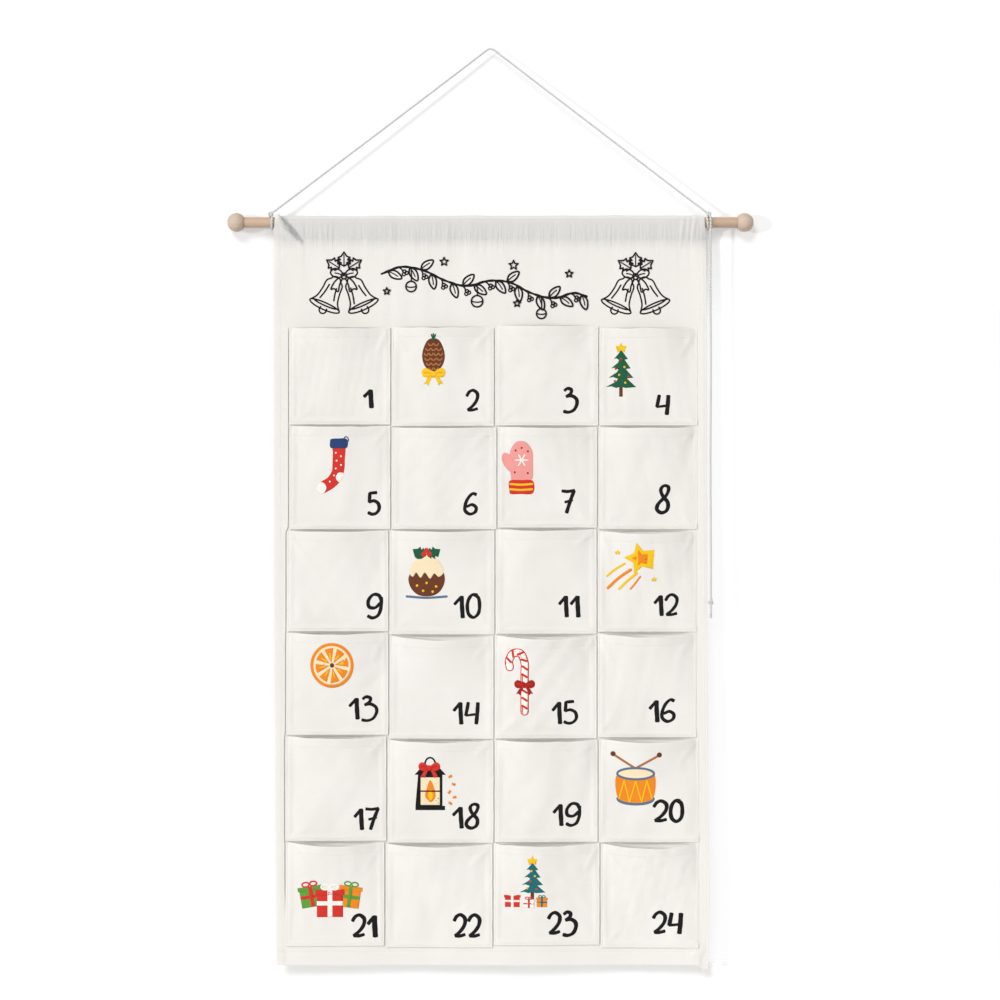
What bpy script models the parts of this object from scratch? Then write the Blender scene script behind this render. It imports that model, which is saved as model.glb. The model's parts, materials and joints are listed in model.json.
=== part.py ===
"""A fabric advent calendar that hangs on a wall.

A canvas panel is sewn round a wooden dowel at its top. Twenty-four patch pockets are sewn on its front.
The dowel ends in two push-on wooden balls, and a cord tied round it at each side runs over a wall nail.
The origin is where the cord bears on that nail. +Z is up, and the pockets face -Y.
"""
import math

import bmesh
import bpy
from mathutils import Vector

# Hanging height
ROD_DROP = 0.1987

# Dowel, which stands out of the cloth at both sides, and its push-on balls
DOWEL_DIAMETER = 0.0120
DOWEL_OVERHANG = 0.0450
DOWEL_CHAMFER = 0.0006
DOWEL_SIDES = 24
BALL_DIAMETER = 0.0215
BALL_SEAT_PAST_CENTRE = 0.0025
BALL_MOUTH_LIP = 0.0010
BALL_BORE_CLEARANCE = 0.0003
BALL_ARC_STEPS = 10
BALL_SIDES = 28
BALL_WELD = 0.00001

# Cloth of the panel and its sleeve
CLOTH_WIDTH = 0.5000
CLOTH_DROP = 0.8555
CLOTH_THICKNESS = 0.0012
CLOTH_GAP = 0.0004
PANEL_COLUMNS = 20
PANEL_ROWS = 22
FOLD_DEPTH = 0.0018
FOLD_PITCH = 0.2450
FOLD_PHASE = 0.7
BOW_DEPTH = 0.0022
EDGE_HEIGHT_SHARES = (0.0, 0.30, 0.55, 0.80, 0.90, 1.0)
LEFT_EDGE_SHARES = (1.0, 0.998, 0.996, 0.990, 0.988, 0.986)
RIGHT_EDGE_SHARES = (0.993, 0.995, 0.997, 1.002, 1.008, 1.002)

# Rod sleeve, the top of the cloth folded back over the dowel
SLEEVE_EASE = 0.0004
SLEEVE_STITCH_DROP = 0.0200
SLEEVE_FLAP_LAP = 0.0060
SLEEVE_LEFT_DRAW = 0.0020
SLEEVE_RIGHT_DRAW = 0.0040
SLEEVE_COLUMNS = 8
SLEEVE_ARC_STEPS = 9

# Pockets
POCKET_COLUMNS = 4
POCKET_ROWS = 6
POCKET_LEFT_MARGIN = 0.0156
POCKET_RIGHT_MARGIN = 0.0108
POCKET_HEADER = 0.1210
POCKET_FOOT = 0.0199
POCKET_SIDE_GAP = 0.0036
POCKET_ROW_GAP = 0.0030
POCKET_THICKNESS = 0.0011
POCKET_MOUTH_DEPTH = 0.0135
POCKET_MOUTH_DROOP = 0.0055
ACROSS_POWER = 0.62
UP_POWER = 0.66
ACROSS_SHARES = (0.0, 0.035, 0.19, 0.38, 0.62, 0.81, 0.965, 1.0)
UP_SHARES = (0.0, 0.035, 0.24, 0.48, 0.72, 0.93, 1.0)
SEAM_SHARE = 0.035
SIDE_STRAY_SHARES = (
    (0.019, 0.012, 0.019, 0.032, 0.000),
    (0.019, 0.012, 0.044, 0.022, -0.005),
    (-0.005, -0.007, 0.024, 0.017, -0.010),
    (-0.010, -0.007, 0.015, 0.017, -0.010),
    (-0.019, -0.027, 0.015, 0.027, 0.010),
    (-0.015, -0.046, 0.005, 0.046, 0.010),
)
TOP_STRAY_SHARES = (
    (0.005, 0.000, -0.015, 0.010),
    (-0.047, -0.033, -0.038, -0.038),
    (-0.037, -0.037, -0.051, -0.037),
    (-0.050, -0.021, -0.026, -0.045),
    (-0.050, -0.012, -0.016, -0.026),
    (-0.025, -0.006, -0.015, -0.011),
    (-0.010, 0.005, -0.019, 0.010),
)
DEPTH_SHARES = (
    (0.82, 0.74, 0.80, 0.72),
    (0.78, 0.80, 0.86, 0.84),
    (0.80, 0.84, 0.86, 0.97),
    (0.88, 1.00, 0.95, 0.97),
    (0.86, 0.88, 0.85, 0.98),
    (0.94, 0.88, 0.90, 1.00),
)
DROOP_SHARES = (
    (0.20, 0.10, 0.20, 0.10),
    (0.20, 0.20, 0.30, 0.30),
    (0.30, 0.30, 0.40, 0.80),
    (0.40, 1.00, 0.90, 0.90),
    (0.50, 0.50, 0.40, 0.80),
    (0.70, 0.50, 0.50, 1.00),
)

# Cord
CORD_DIAMETER = 0.0030
CORD_CLEARANCE = 0.0003
CORD_BEVEL_RESOLUTION = 2
LOOP_SHIFT = 0.0034
LOOP_GAP = 0.0029
LOOP_STEPS = 20
KNOT_DIAMETER = 0.0072
KNOT_REACH = 0.0104
KNOT_ANGLE = 115.0
KNOT_SQUASH_SHARE = 0.94
KNOT_SIDES = 14
KNOT_RINGS = 9
SPAN_STEPS = 3
TAIL_STEPS = 2
TIP_LENGTH = 0.0120

# The cord's free stretch, from the left knot over the nail to the right knot
SPAN_ROUTE = (
    (-0.24955, -0.00433, -0.18693),
    (-0.2450, -0.0043, -0.1835),
    (-0.2250, -0.0041, -0.1684),
    (-0.1900, -0.0036, -0.1419),
    (-0.1450, -0.0029, -0.1078),
    (-0.1000, -0.0021, -0.0735),
    (-0.0550, -0.0012, -0.0392),
    (-0.0250, -0.0005, -0.0161),
    (-0.0090, -0.0001, -0.0038),
    (-0.0039, 0.0000, 0.0001),
    (-0.0020, 0.0000, 0.00115),
    (0.0000, 0.0000, 0.0015),
    (0.0020, 0.0000, 0.00115),
    (0.0039, 0.0000, 0.0001),
    (0.0090, -0.0001, -0.0038),
    (0.0250, -0.0005, -0.0161),
    (0.0550, -0.0012, -0.0393),
    (0.1000, -0.0021, -0.0739),
    (0.1450, -0.0029, -0.1085),
    (0.1900, -0.0036, -0.1430),
    (0.2250, -0.0041, -0.1698),
    (0.2435, -0.0043, -0.1838),
    (0.24755, -0.00433, -0.18693),
)

# The cord's loose end, from the right knot down beside the cloth to its own knot
TAIL_ROUTE = (
    (0.25265, -0.0064, -0.1919),
    (0.2531, -0.0077, -0.1955),
    (0.2530, -0.0082, -0.2000),
    (0.2528, -0.0083, -0.2080),
    (0.2527, -0.0082, -0.2300),
    (0.2526, -0.0079, -0.2650),
    (0.2528, -0.0077, -0.3050),
    (0.2531, -0.0078, -0.3500),
    (0.2529, -0.0081, -0.4000),
    (0.2526, -0.0083, -0.4500),
    (0.2526, -0.0082, -0.5000),
    (0.2529, -0.0080, -0.5500),
    (0.2531, -0.0079, -0.5950),
    (0.2531, -0.0079, -0.6320),
)

# Colours, as linear red, green, blue, and how rough each surface is
CANVAS_COLOUR = (0.86, 0.84, 0.79)
POCKET_COLOUR = (0.88, 0.86, 0.81)
CANVAS_ROUGHNESS = 0.90
WOOD_COLOUR = (0.72, 0.47, 0.30)
WOOD_ROUGHNESS = 0.55
CORD_COLOUR = (0.80, 0.79, 0.76)
CORD_ROUGHNESS = 0.95

# Edges flatter than the first angle are shaded smooth, and only edges sharper than the second are chamfered
SMOOTH_ANGLE = math.radians(40)
CHAMFER_ANGLE = math.radians(60)
QUARTER_TURN = math.radians(90)

COLLECTION_NAME = "advent_calendar"


def clear_scene():
    """Remove everything the scene starts with."""
    for old in list(bpy.data.objects):
        bpy.data.objects.remove(old, do_unlink=True)


def make_material(name, colour, roughness):
    """A matt surface of one colour."""
    material = bpy.data.materials.new(name)
    material.use_nodes = True
    shader = material.node_tree.nodes["Principled BSDF"]
    shader.inputs["Base Color"].default_value = (*colour, 1.0)
    shader.inputs["Roughness"].default_value = roughness
    return material


def add_object(collection, name, data, colour, roughness):
    """Link a named object with a material of its own."""
    obj = bpy.data.objects.new(name, data)
    obj.data.materials.append(make_material(name, colour, roughness))
    collection.objects.link(obj)
    return obj


def read_shares(share, places, values):
    """The value at a place along a table, straight between its entries."""
    for low in range(len(places) - 1):
        if share <= places[low + 1]:
            step = (share - places[low]) / (places[low + 1] - places[low])
            return values[low] + (values[low + 1] - values[low]) * step
    return values[-1]


def dowel_length():
    return CLOTH_WIDTH + 2 * DOWEL_OVERHANG


def sleeve_ends():
    """How far left and right the sleeve reaches along the dowel, its ends drawn in a little by the stitching."""
    return CLOTH_WIDTH / 2 - SLEEVE_LEFT_DRAW, CLOTH_WIDTH / 2 - SLEEVE_RIGHT_DRAW


def stitch_height():
    """Height of the stitch line under the dowel, where the sleeve ends and the panel starts."""
    return -ROD_DROP - SLEEVE_STITCH_DROP


def bottom_height():
    return -ROD_DROP - CLOTH_DROP


def hang_share(z):
    """How far down the panel a height is, from 0 at the stitch line to 1 at the bottom edge."""
    return (stitch_height() - z) / (stitch_height() - bottom_height())


def panel_edges(z):
    """The left and right edge of the panel at a height."""
    share = min(max(hang_share(z), 0.0), 1.0)
    half = CLOTH_WIDTH / 2
    left = -half * read_shares(share, EDGE_HEIGHT_SHARES, LEFT_EDGE_SHARES)
    right = half * read_shares(share, EDGE_HEIGHT_SHARES, RIGHT_EDGE_SHARES)
    return left, right


def panel_depth(x, z):
    """How far the middle of the cloth stands from the hanging plane: slow upright folds and a slight bow."""
    share = min(max(hang_share(z), 0.0), 1.0)
    fold = FOLD_DEPTH * share * math.sin(2 * math.pi * x / FOLD_PITCH + FOLD_PHASE)
    bow = BOW_DEPTH * math.sin(math.pi * share) * math.cos(math.pi * x / CLOTH_WIDTH)
    return -fold - bow


def grid_mesh(name, columns, rows, place):
    """A grid whose points are placed by their column and row."""
    shape = bmesh.new()
    bmesh.ops.create_grid(shape, x_segments=columns, y_segments=rows, size=1.0)
    for vert in shape.verts:
        column = round((vert.co.x + 1) / 2 * columns)
        row = round((vert.co.y + 1) / 2 * rows)
        vert.co = place(column, row)
    mesh = bpy.data.meshes.new(name)
    shape.to_mesh(mesh)
    shape.free()
    return mesh


def sheet(collection, name, mesh, thickness, colour):
    """An open surface given the thickness of its cloth, half to each side."""
    obj = add_object(collection, name, mesh, colour, CANVAS_ROUGHNESS)
    mesh.shade_smooth()
    wall = obj.modifiers.new("cloth_thickness", "SOLIDIFY")
    wall.thickness = thickness
    wall.offset = 0.0
    return obj


def make_panel(collection):
    """The canvas from the stitch line down, with its hanging folds."""
    top = stitch_height() - CLOTH_GAP / 2
    bottom = bottom_height()

    def place(column, row):
        z = bottom + (top - bottom) * row / PANEL_ROWS
        left, right = panel_edges(z)
        x = left + (right - left) * column / PANEL_COLUMNS
        return Vector((x, panel_depth(x, z), z))

    mesh = grid_mesh("back_panel", PANEL_COLUMNS, PANEL_ROWS, place)
    return sheet(collection, "back_panel", mesh, CLOTH_THICKNESS, CANVAS_COLOUR)


def sleeve_stations():
    """The sleeve's section, from the back flap's lower edge over the dowel to the stitch line in front."""
    radius = DOWEL_DIAMETER / 2 + SLEEVE_EASE + CLOTH_THICKNESS / 2
    back = CLOTH_THICKNESS + CLOTH_GAP
    drop = SLEEVE_STITCH_DROP
    back_angle = math.atan2(-drop, back) + math.acos(radius / math.hypot(back, drop))
    front_angle = 1.5 * math.pi - math.acos(radius / drop)
    stations = [(back, -drop - SLEEVE_FLAP_LAP), (back, -drop)]
    for step in range(SLEEVE_ARC_STEPS + 1):
        angle = back_angle + (front_angle - back_angle) * step / SLEEVE_ARC_STEPS
        stations.append((radius * math.cos(angle), radius * math.sin(angle)))
    stations.append((0.0, -drop + CLOTH_GAP / 2))
    return stations


def make_sleeve(collection):
    """The fold of cloth that the dowel passes through."""
    stations = sleeve_stations()
    low_left, low_right = panel_edges(stitch_height())
    left_end, right_end = sleeve_ends()

    def place(column, row):
        y, z = stations[row]
        reach = min(max(-z / SLEEVE_STITCH_DROP, 0.0), 1.0)
        left = -left_end + (low_left + left_end) * reach
        right = right_end + (low_right - right_end) * reach
        x = left + (right - left) * column / SLEEVE_COLUMNS
        return Vector((x, y, z - ROD_DROP))

    mesh = grid_mesh("rod_sleeve", SLEEVE_COLUMNS, len(stations) - 1, place)
    return sheet(collection, "rod_sleeve", mesh, CLOTH_THICKNESS, CANVAS_COLOUR)


def pocket_corners(row, column):
    """A pocket's left and right side, its two top corners' height and its bottom, from the grid and its strays."""
    grid_left = -CLOTH_WIDTH / 2 + POCKET_LEFT_MARGIN
    grid_top = -ROD_DROP - POCKET_HEADER
    pitch_x = (CLOTH_WIDTH - POCKET_LEFT_MARGIN - POCKET_RIGHT_MARGIN) / POCKET_COLUMNS
    pitch_z = (CLOTH_DROP - POCKET_HEADER - POCKET_FOOT) / POCKET_ROWS
    strays = SIDE_STRAY_SHARES[row]
    left = grid_left + (column + strays[column]) * pitch_x + POCKET_SIDE_GAP / 2
    right = grid_left + (column + 1 + strays[column + 1]) * pitch_x - POCKET_SIDE_GAP / 2
    top = grid_top - (row + TOP_STRAY_SHARES[row][column]) * pitch_z
    bottom = grid_top - (row + 1 + TOP_STRAY_SHARES[row + 1][column]) * pitch_z + POCKET_ROW_GAP
    return left, right, top, bottom


def bulge(across, up):
    """How full the pocket is, from 0 along the sewn edges to 1 in the middle of its mouth."""
    inside = (across - SEAM_SHARE) / (1 - 2 * SEAM_SHARE)
    height = (up - SEAM_SHARE) / (1 - SEAM_SHARE)
    if inside <= 0 or inside >= 1 or height <= 0:
        return 0.0
    return math.sin(math.pi * inside) ** ACROSS_POWER * height**UP_POWER


def make_pocket(collection, row, column):
    """One patch pocket, sewn along both sides and the bottom, its mouth standing open and a little slack."""
    name = f"pocket_{row * POCKET_COLUMNS + column + 1:02d}"
    left, right, top, bottom = pocket_corners(row, column)
    depth = POCKET_MOUTH_DEPTH * DEPTH_SHARES[row][column]
    droop = POCKET_MOUTH_DROOP * DROOP_SHARES[row][column]
    stand_off = CLOTH_THICKNESS / 2 + CLOTH_GAP + POCKET_THICKNESS / 2

    def place(across_step, up_step):
        across = ACROSS_SHARES[across_step]
        up = UP_SHARES[up_step]
        x = left + (right - left) * across
        sag = droop * math.sin(math.pi * across) * up**2
        z = bottom + (top - bottom) * up - sag
        y = panel_depth(x, z) - stand_off - depth * bulge(across, up)
        return Vector((x, y, z))

    mesh = grid_mesh(name, len(ACROSS_SHARES) - 1, len(UP_SHARES) - 1, place)
    return sheet(collection, name, mesh, POCKET_THICKNESS, POCKET_COLOUR)


def make_dowel(collection):
    """The round wooden rod, its ends chamfered to enter the balls."""
    shape = bmesh.new()
    bmesh.ops.create_cone(
        shape,
        cap_ends=True,
        segments=DOWEL_SIDES,
        radius1=DOWEL_DIAMETER / 2,
        radius2=DOWEL_DIAMETER / 2,
        depth=dowel_length(),
    )
    mesh = bpy.data.meshes.new("dowel")
    shape.to_mesh(mesh)
    shape.free()
    mesh.shade_smooth()
    mesh.set_sharp_from_angle(angle=SMOOTH_ANGLE)
    obj = add_object(collection, "dowel", mesh, WOOD_COLOUR, WOOD_ROUGHNESS)
    obj.location = (0, 0, -ROD_DROP)
    obj.rotation_euler = (0, QUARTER_TURN, 0)
    edge = obj.modifiers.new("end_chamfer", "BEVEL")
    edge.width = DOWEL_CHAMFER
    edge.segments = 1
    edge.limit_method = "ANGLE"
    edge.angle_limit = CHAMFER_ANGLE
    return obj


def ball_profile():
    """Half the section of a ball bored from one side, from its far pole down to the bore's blind end."""
    radius = BALL_DIAMETER / 2
    bore = DOWEL_DIAMETER / 2 + BALL_BORE_CLEARANCE
    mouth = bore + BALL_MOUTH_LIP
    mouth_height = -math.sqrt(radius**2 - mouth**2)
    last_angle = math.atan2(mouth_height, mouth)
    blind = BALL_SEAT_PAST_CENTRE + BALL_BORE_CLEARANCE
    points = []
    for step in range(BALL_ARC_STEPS + 1):
        angle = math.pi / 2 + (last_angle - math.pi / 2) * step / BALL_ARC_STEPS
        points.append((radius * math.cos(angle), radius * math.sin(angle)))
    points[0] = (0.0, radius)
    points.append((bore, mouth_height))
    points.append((bore, blind))
    points.append((0.0, blind))
    return points


def make_ball(collection, name, side):
    """A turned wooden ball pushed over one end of the dowel."""
    points = ball_profile()
    mesh = bpy.data.meshes.new(name)
    edges = [(i, i + 1) for i in range(len(points) - 1)]
    mesh.from_pydata([(r, 0.0, h) for r, h in points], edges, [])
    obj = add_object(collection, name, mesh, WOOD_COLOUR, WOOD_ROUGHNESS)
    turn = obj.modifiers.new("turned", "SCREW")
    turn.steps = BALL_SIDES
    turn.render_steps = BALL_SIDES
    turn.use_merge_vertices = True
    turn.merge_threshold = BALL_WELD
    turn.use_smooth_shade = True
    obj.location = (side * (dowel_length() / 2 - BALL_SEAT_PAST_CENTRE), 0, -ROD_DROP)
    obj.rotation_euler = (0, side * QUARTER_TURN, 0)
    return obj


def smooth_points(route, steps):
    """Points read from one smooth curve that passes through all the points of a route."""
    points = [Vector(point) for point in route]
    points = [2 * points[0] - points[1], *points, 2 * points[-1] - points[-2]]
    found = []
    for i in range(1, len(points) - 2):
        p0, p1, p2, p3 = points[i - 1 : i + 3]
        t1 = (p1 - p0).length ** 0.5
        t2 = t1 + (p2 - p1).length ** 0.5
        t3 = t2 + (p3 - p2).length ** 0.5
        for step in range(steps):
            t = t1 + (t2 - t1) * step / steps
            a1 = p0.lerp(p1, t / t1)
            a2 = p1.lerp(p2, (t - t1) / (t2 - t1))
            a3 = p2.lerp(p3, (t - t2) / (t3 - t2))
            b1 = a1.lerp(a2, t / t2)
            b2 = a2.lerp(a3, (t - t1) / (t3 - t1))
            found.append(b1.lerp(b2, (t - t1) / (t2 - t1)))
    found.append(points[-2])
    return found


def make_tube(collection, name, points):
    """A round length of cord along the points."""
    curve = bpy.data.curves.new(name, "CURVE")
    curve.dimensions = "3D"
    curve.bevel_depth = CORD_DIAMETER / 2
    curve.bevel_resolution = CORD_BEVEL_RESOLUTION
    curve.use_fill_caps = True
    spline = curve.splines.new("POLY")
    spline.points.add(len(points) - 1)
    for target, point in zip(spline.points, points):
        target.co = (*point, 1.0)
    return add_object(collection, name, curve, CORD_COLOUR, CORD_ROUGHNESS)


def knot_centre(side, inner_x):
    """The middle of the knot that ties the cord above the dowel."""
    angle = math.radians(KNOT_ANGLE)
    y = KNOT_REACH * math.cos(angle)
    z = KNOT_REACH * math.sin(angle) - ROD_DROP
    return Vector((side * (inner_x + LOOP_SHIFT / 2), y, z))


def make_knot(collection, name, centre):
    """A drawn-up knot, a little flattened ball."""
    shape = bmesh.new()
    bmesh.ops.create_uvsphere(
        shape, u_segments=KNOT_SIDES, v_segments=KNOT_RINGS, radius=KNOT_DIAMETER / 2
    )
    for vert in shape.verts:
        vert.co.z *= KNOT_SQUASH_SHARE
    mesh = bpy.data.meshes.new(name)
    shape.to_mesh(mesh)
    shape.free()
    mesh.shade_smooth()
    obj = add_object(collection, name, mesh, CORD_COLOUR, CORD_ROUGHNESS)
    obj.location = centre
    return obj


def loop_points(side, inner_x):
    """One turn round the dowel, from just under the knot in front to just behind the knot on top."""
    radius = DOWEL_DIAMETER / 2 + CORD_CLEARANCE + CORD_DIAMETER / 2
    outer = radius + CORD_DIAMETER / 2
    reach = (KNOT_DIAMETER / 2 + CORD_CLEARANCE) ** 2 - (LOOP_SHIFT / 2) ** 2
    gap = math.acos((outer**2 + KNOT_REACH**2 - reach) / (2 * outer * KNOT_REACH))
    start = math.radians(KNOT_ANGLE) + gap
    sweep = 2 * math.pi - 2 * gap
    points = []
    for step in range(LOOP_STEPS + 1):
        share = step / LOOP_STEPS
        angle = start + sweep * share
        x = side * (inner_x + LOOP_SHIFT * share)
        points.append((x, radius * math.cos(angle), radius * math.sin(angle) - ROD_DROP))
    return points


def make_cord(collection):
    """The cord: its free stretch, a loop and a knot at each side, and a knotted loose end at the right."""
    left_end, right_end = sleeve_ends()
    make_tube(collection, "cord_span", smooth_points(SPAN_ROUTE, SPAN_STEPS))
    make_tube(collection, "cord_loop_left", loop_points(-1, left_end + LOOP_GAP))
    make_tube(collection, "cord_loop_right", loop_points(1, right_end + LOOP_GAP))
    make_knot(collection, "cord_knot_left", knot_centre(-1, left_end + LOOP_GAP))
    make_knot(collection, "cord_knot_right", knot_centre(1, right_end + LOOP_GAP))
    make_tube(collection, "cord_tail", smooth_points(TAIL_ROUTE, TAIL_STEPS))
    reach = KNOT_DIAMETER / 2 * KNOT_SQUASH_SHARE + CORD_CLEARANCE
    tail_end = Vector(TAIL_ROUTE[-1])
    centre = tail_end - Vector((0, 0, reach))
    make_knot(collection, "cord_tail_knot", centre)
    tip = centre - Vector((0, 0, reach))
    make_tube(collection, "cord_tail_tip", [tip, tip - Vector((0, 0, TIP_LENGTH))])


def main():
    clear_scene()
    collection = bpy.data.collections.new(COLLECTION_NAME)
    bpy.context.scene.collection.children.link(collection)
    rod_axis = bpy.data.objects.new("rod_axis", None)
    rod_axis.location = (0, 0, -ROD_DROP)
    collection.objects.link(rod_axis)
    turning = [
        make_dowel(collection),
        make_ball(collection, "finial_left", -1),
        make_ball(collection, "finial_right", 1),
        make_panel(collection),
        make_sleeve(collection),
    ]
    for row in range(POCKET_ROWS):
        for column in range(POCKET_COLUMNS):
            turning.append(make_pocket(collection, row, column))
    bpy.context.view_layer.update()
    for obj in turning:
        obj.parent = rod_axis
        obj.matrix_parent_inverse = rod_axis.matrix_world.inverted()
    make_cord(collection)


main()
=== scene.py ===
"""The looks of a fabric advent calendar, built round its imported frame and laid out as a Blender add-on."""

import json
import math

import bmesh
import bpy
import numpy as np
from bpy.props import FloatProperty, FloatVectorProperty, PointerProperty
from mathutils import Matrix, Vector
from mathutils.bvhtree import BVHTree

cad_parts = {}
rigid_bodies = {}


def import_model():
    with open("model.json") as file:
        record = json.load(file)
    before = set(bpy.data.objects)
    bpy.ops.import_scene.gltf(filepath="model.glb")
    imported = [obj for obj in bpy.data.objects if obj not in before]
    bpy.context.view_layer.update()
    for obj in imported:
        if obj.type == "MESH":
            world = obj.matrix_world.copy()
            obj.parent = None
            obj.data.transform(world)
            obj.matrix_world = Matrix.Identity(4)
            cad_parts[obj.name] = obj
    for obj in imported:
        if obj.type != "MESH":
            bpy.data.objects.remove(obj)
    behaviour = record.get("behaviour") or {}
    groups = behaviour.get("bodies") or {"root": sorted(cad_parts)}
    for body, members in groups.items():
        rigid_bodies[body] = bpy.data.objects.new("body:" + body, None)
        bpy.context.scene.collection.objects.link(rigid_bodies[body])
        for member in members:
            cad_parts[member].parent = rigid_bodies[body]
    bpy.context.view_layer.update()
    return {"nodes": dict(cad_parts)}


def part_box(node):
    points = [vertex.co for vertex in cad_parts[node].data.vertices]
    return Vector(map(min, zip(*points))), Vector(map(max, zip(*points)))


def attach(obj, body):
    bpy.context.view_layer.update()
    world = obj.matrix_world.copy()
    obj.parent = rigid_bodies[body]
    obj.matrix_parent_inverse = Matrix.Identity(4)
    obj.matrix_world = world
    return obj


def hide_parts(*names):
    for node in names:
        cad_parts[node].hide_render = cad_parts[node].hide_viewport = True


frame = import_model()

bl_info = {
    "name": "Fabric advent calendar",
    "version": (1, 0, 0),
    "blender": (4, 5, 0),
    "location": "View3D > Sidebar > Calendar",
    "description": "Dresses the calendar's frame with its cloth, pockets, cord, wood, stitching and prints",
    "category": "Object",
}

MM = 0.001

# The hanging plane and the cloth's outline, as the frame has them.
ROD_Z = -0.1987
STITCH_Z = -0.2187
BOTTOM_Z = -1.0542
CLOTH_WIDTH = 0.5
SLEEVE_REACH = (0.248, 0.246)
SLEEVE_RADIUS = 0.0076
DOWEL_CLEARANCE = 0.00018
FRONT_SHIFT = 0.0006
FOLD_DEPTH = 0.0018
FOLD_PITCH = 0.245
FOLD_PHASE = 0.7
BOW_DEPTH = 0.0022
EDGE_HEIGHTS = (0.0, 0.30, 0.55, 0.80, 0.90, 1.0)
LEFT_EDGE = (1.0, 0.998, 0.996, 0.990, 0.988, 0.986)
RIGHT_EDGE = (0.993, 0.995, 0.997, 1.002, 1.008, 1.002)

# Hems and seams.
SIDE_HEM = 0.0085
SIDE_STITCH = 0.0078
BOTTOM_HEM = 0.0165
BOTTOM_STITCH = 0.0156
FLAP_LAP = 0.006
POCKET_HEM = 0.0115
POCKET_HEM_STITCH = 0.0105
POCKET_ALLOWANCE = 0.0065
POCKET_SEAM = 0.0021
LAYER_GAP = 0.00005
MOUTH_HOLLOW = 0.0030
STRIP_HEIGHT = 0.0018
STRIP_GAP = 0.0007
STRIP_FALL = 0.0009
POCKET_SPREAD = 0.0012
LINE_INSET = 0.0015
MOTIF_CELL = 0.118
FLAP_DEPTH = 0.00055
CORNER_DROP = 0.0050
SLEEVE_EASE = 0.0022
SLEEVE_EASE_DROP = 0.011

# The cord's route over the nail and down its loose end, as the frame has it.
SPAN_ROUTE = (
    (-0.24955, -0.00433, -0.18693), (-0.2450, -0.0043, -0.1835), (-0.2250, -0.0041, -0.1684),
    (-0.1900, -0.0036, -0.1419), (-0.1450, -0.0029, -0.1078), (-0.1000, -0.0021, -0.0735),
    (-0.0550, -0.0012, -0.0392), (-0.0250, -0.0005, -0.0161), (-0.0090, -0.0001, -0.0038),
    (-0.0039, 0.0, 0.0001), (-0.0020, 0.0, 0.00115), (0.0, 0.0, 0.0015), (0.0020, 0.0, 0.00115),
    (0.0039, 0.0, 0.0001), (0.0090, -0.0001, -0.0038), (0.0250, -0.0005, -0.0161),
    (0.0550, -0.0012, -0.0393), (0.1000, -0.0021, -0.0739), (0.1450, -0.0029, -0.1085),
    (0.1900, -0.0036, -0.1430), (0.2250, -0.0041, -0.1698), (0.2435, -0.0043, -0.1838),
    (0.24755, -0.00433, -0.18693),
)
TAIL_ROUTE = (
    (0.25265, -0.0064, -0.1919), (0.2531, -0.0077, -0.1955), (0.2530, -0.0082, -0.2000),
    (0.2528, -0.0083, -0.2080), (0.2527, -0.0082, -0.2300), (0.2526, -0.0079, -0.2650),
    (0.2528, -0.0077, -0.3050), (0.2531, -0.0078, -0.3500), (0.2529, -0.0081, -0.4000),
    (0.2526, -0.0083, -0.4500), (0.2526, -0.0082, -0.5000), (0.2529, -0.0080, -0.5500),
    (0.2531, -0.0079, -0.5950), (0.2531, -0.0079, -0.6320), (0.2531, -0.0079, -0.6394),
    (0.2531, -0.0079, -0.6500),
)
LOOP_RADIUS = 0.0078
LOOP_START = math.radians(115.0)
LOOP_INNER = {-1: 0.2509, 1: 0.2489}
LOOP_SHIFT = 0.0034
KNOT_CENTRES = {
    "cord_knot_left": (-0.2526, -0.0044, -0.1893),
    "cord_knot_right": (0.2506, -0.0044, -0.1893),
    "cord_tail_knot": (0.2531, -0.0079, -0.6357),
}


def linear(hex_colour):
    """An sRGB hex colour as linear red, green, blue and alpha."""
    parts = [int(hex_colour[place : place + 2], 16) / 255 for place in (1, 3, 5)]
    values = [c / 12.92 if c <= 0.04045 else ((c + 0.055) / 1.055) ** 2.4 for c in parts]
    return (*values, 1.0)


def distance(name, description, default):
    """A length that a user may change, in metres."""
    return FloatProperty(
        name=name, description=description, default=default, min=0.0, subtype="DISTANCE", unit="LENGTH", precision=5
    )


def colour(name, description, default):
    """A colour that a user may change, given as sRGB hex."""
    return FloatVectorProperty(
        name=name, description=description, default=linear(default), size=4, min=0.0, max=1.0, subtype="COLOR"
    )


class ClothSettings(bpy.types.PropertyGroup):
    layer: distance("Cloth layer", "Thickness of one layer of canvas", 0.00055)
    thread_spacing: distance("Thread spacing", "From one thread of the canvas to the next", 0.00062)
    slub_width: distance("Slub width", "Width of the thick threads that show as streaks", 0.0013)
    panel_colour: colour("Panel colour", "Unbleached canvas of the hanging panel", "#ECE9E5")
    pocket_colour: colour("Pocket colour", "Canvas of the pockets", "#ECE9E5")
    stitch_length: distance("Stitch length", "Length of one lockstitch", 0.0030)
    stitch_gap: distance("Stitch gap", "From the end of one stitch to the next", 0.0006)
    thread_width: distance("Sewing thread", "Width of the sewing thread", 0.00042)
    thread_colour: colour("Thread colour", "Sewing thread", "#E9E5DD")


class CordSettings(bpy.types.PropertyGroup):
    diameter: distance("Cord diameter", "Over both twisted strands", 0.003)
    lay: distance("Lay", "Length of one full turn of the twist", 0.0075)
    tint: colour("Cord colour", "Bleached cotton cord", "#E3E4E2")


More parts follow.
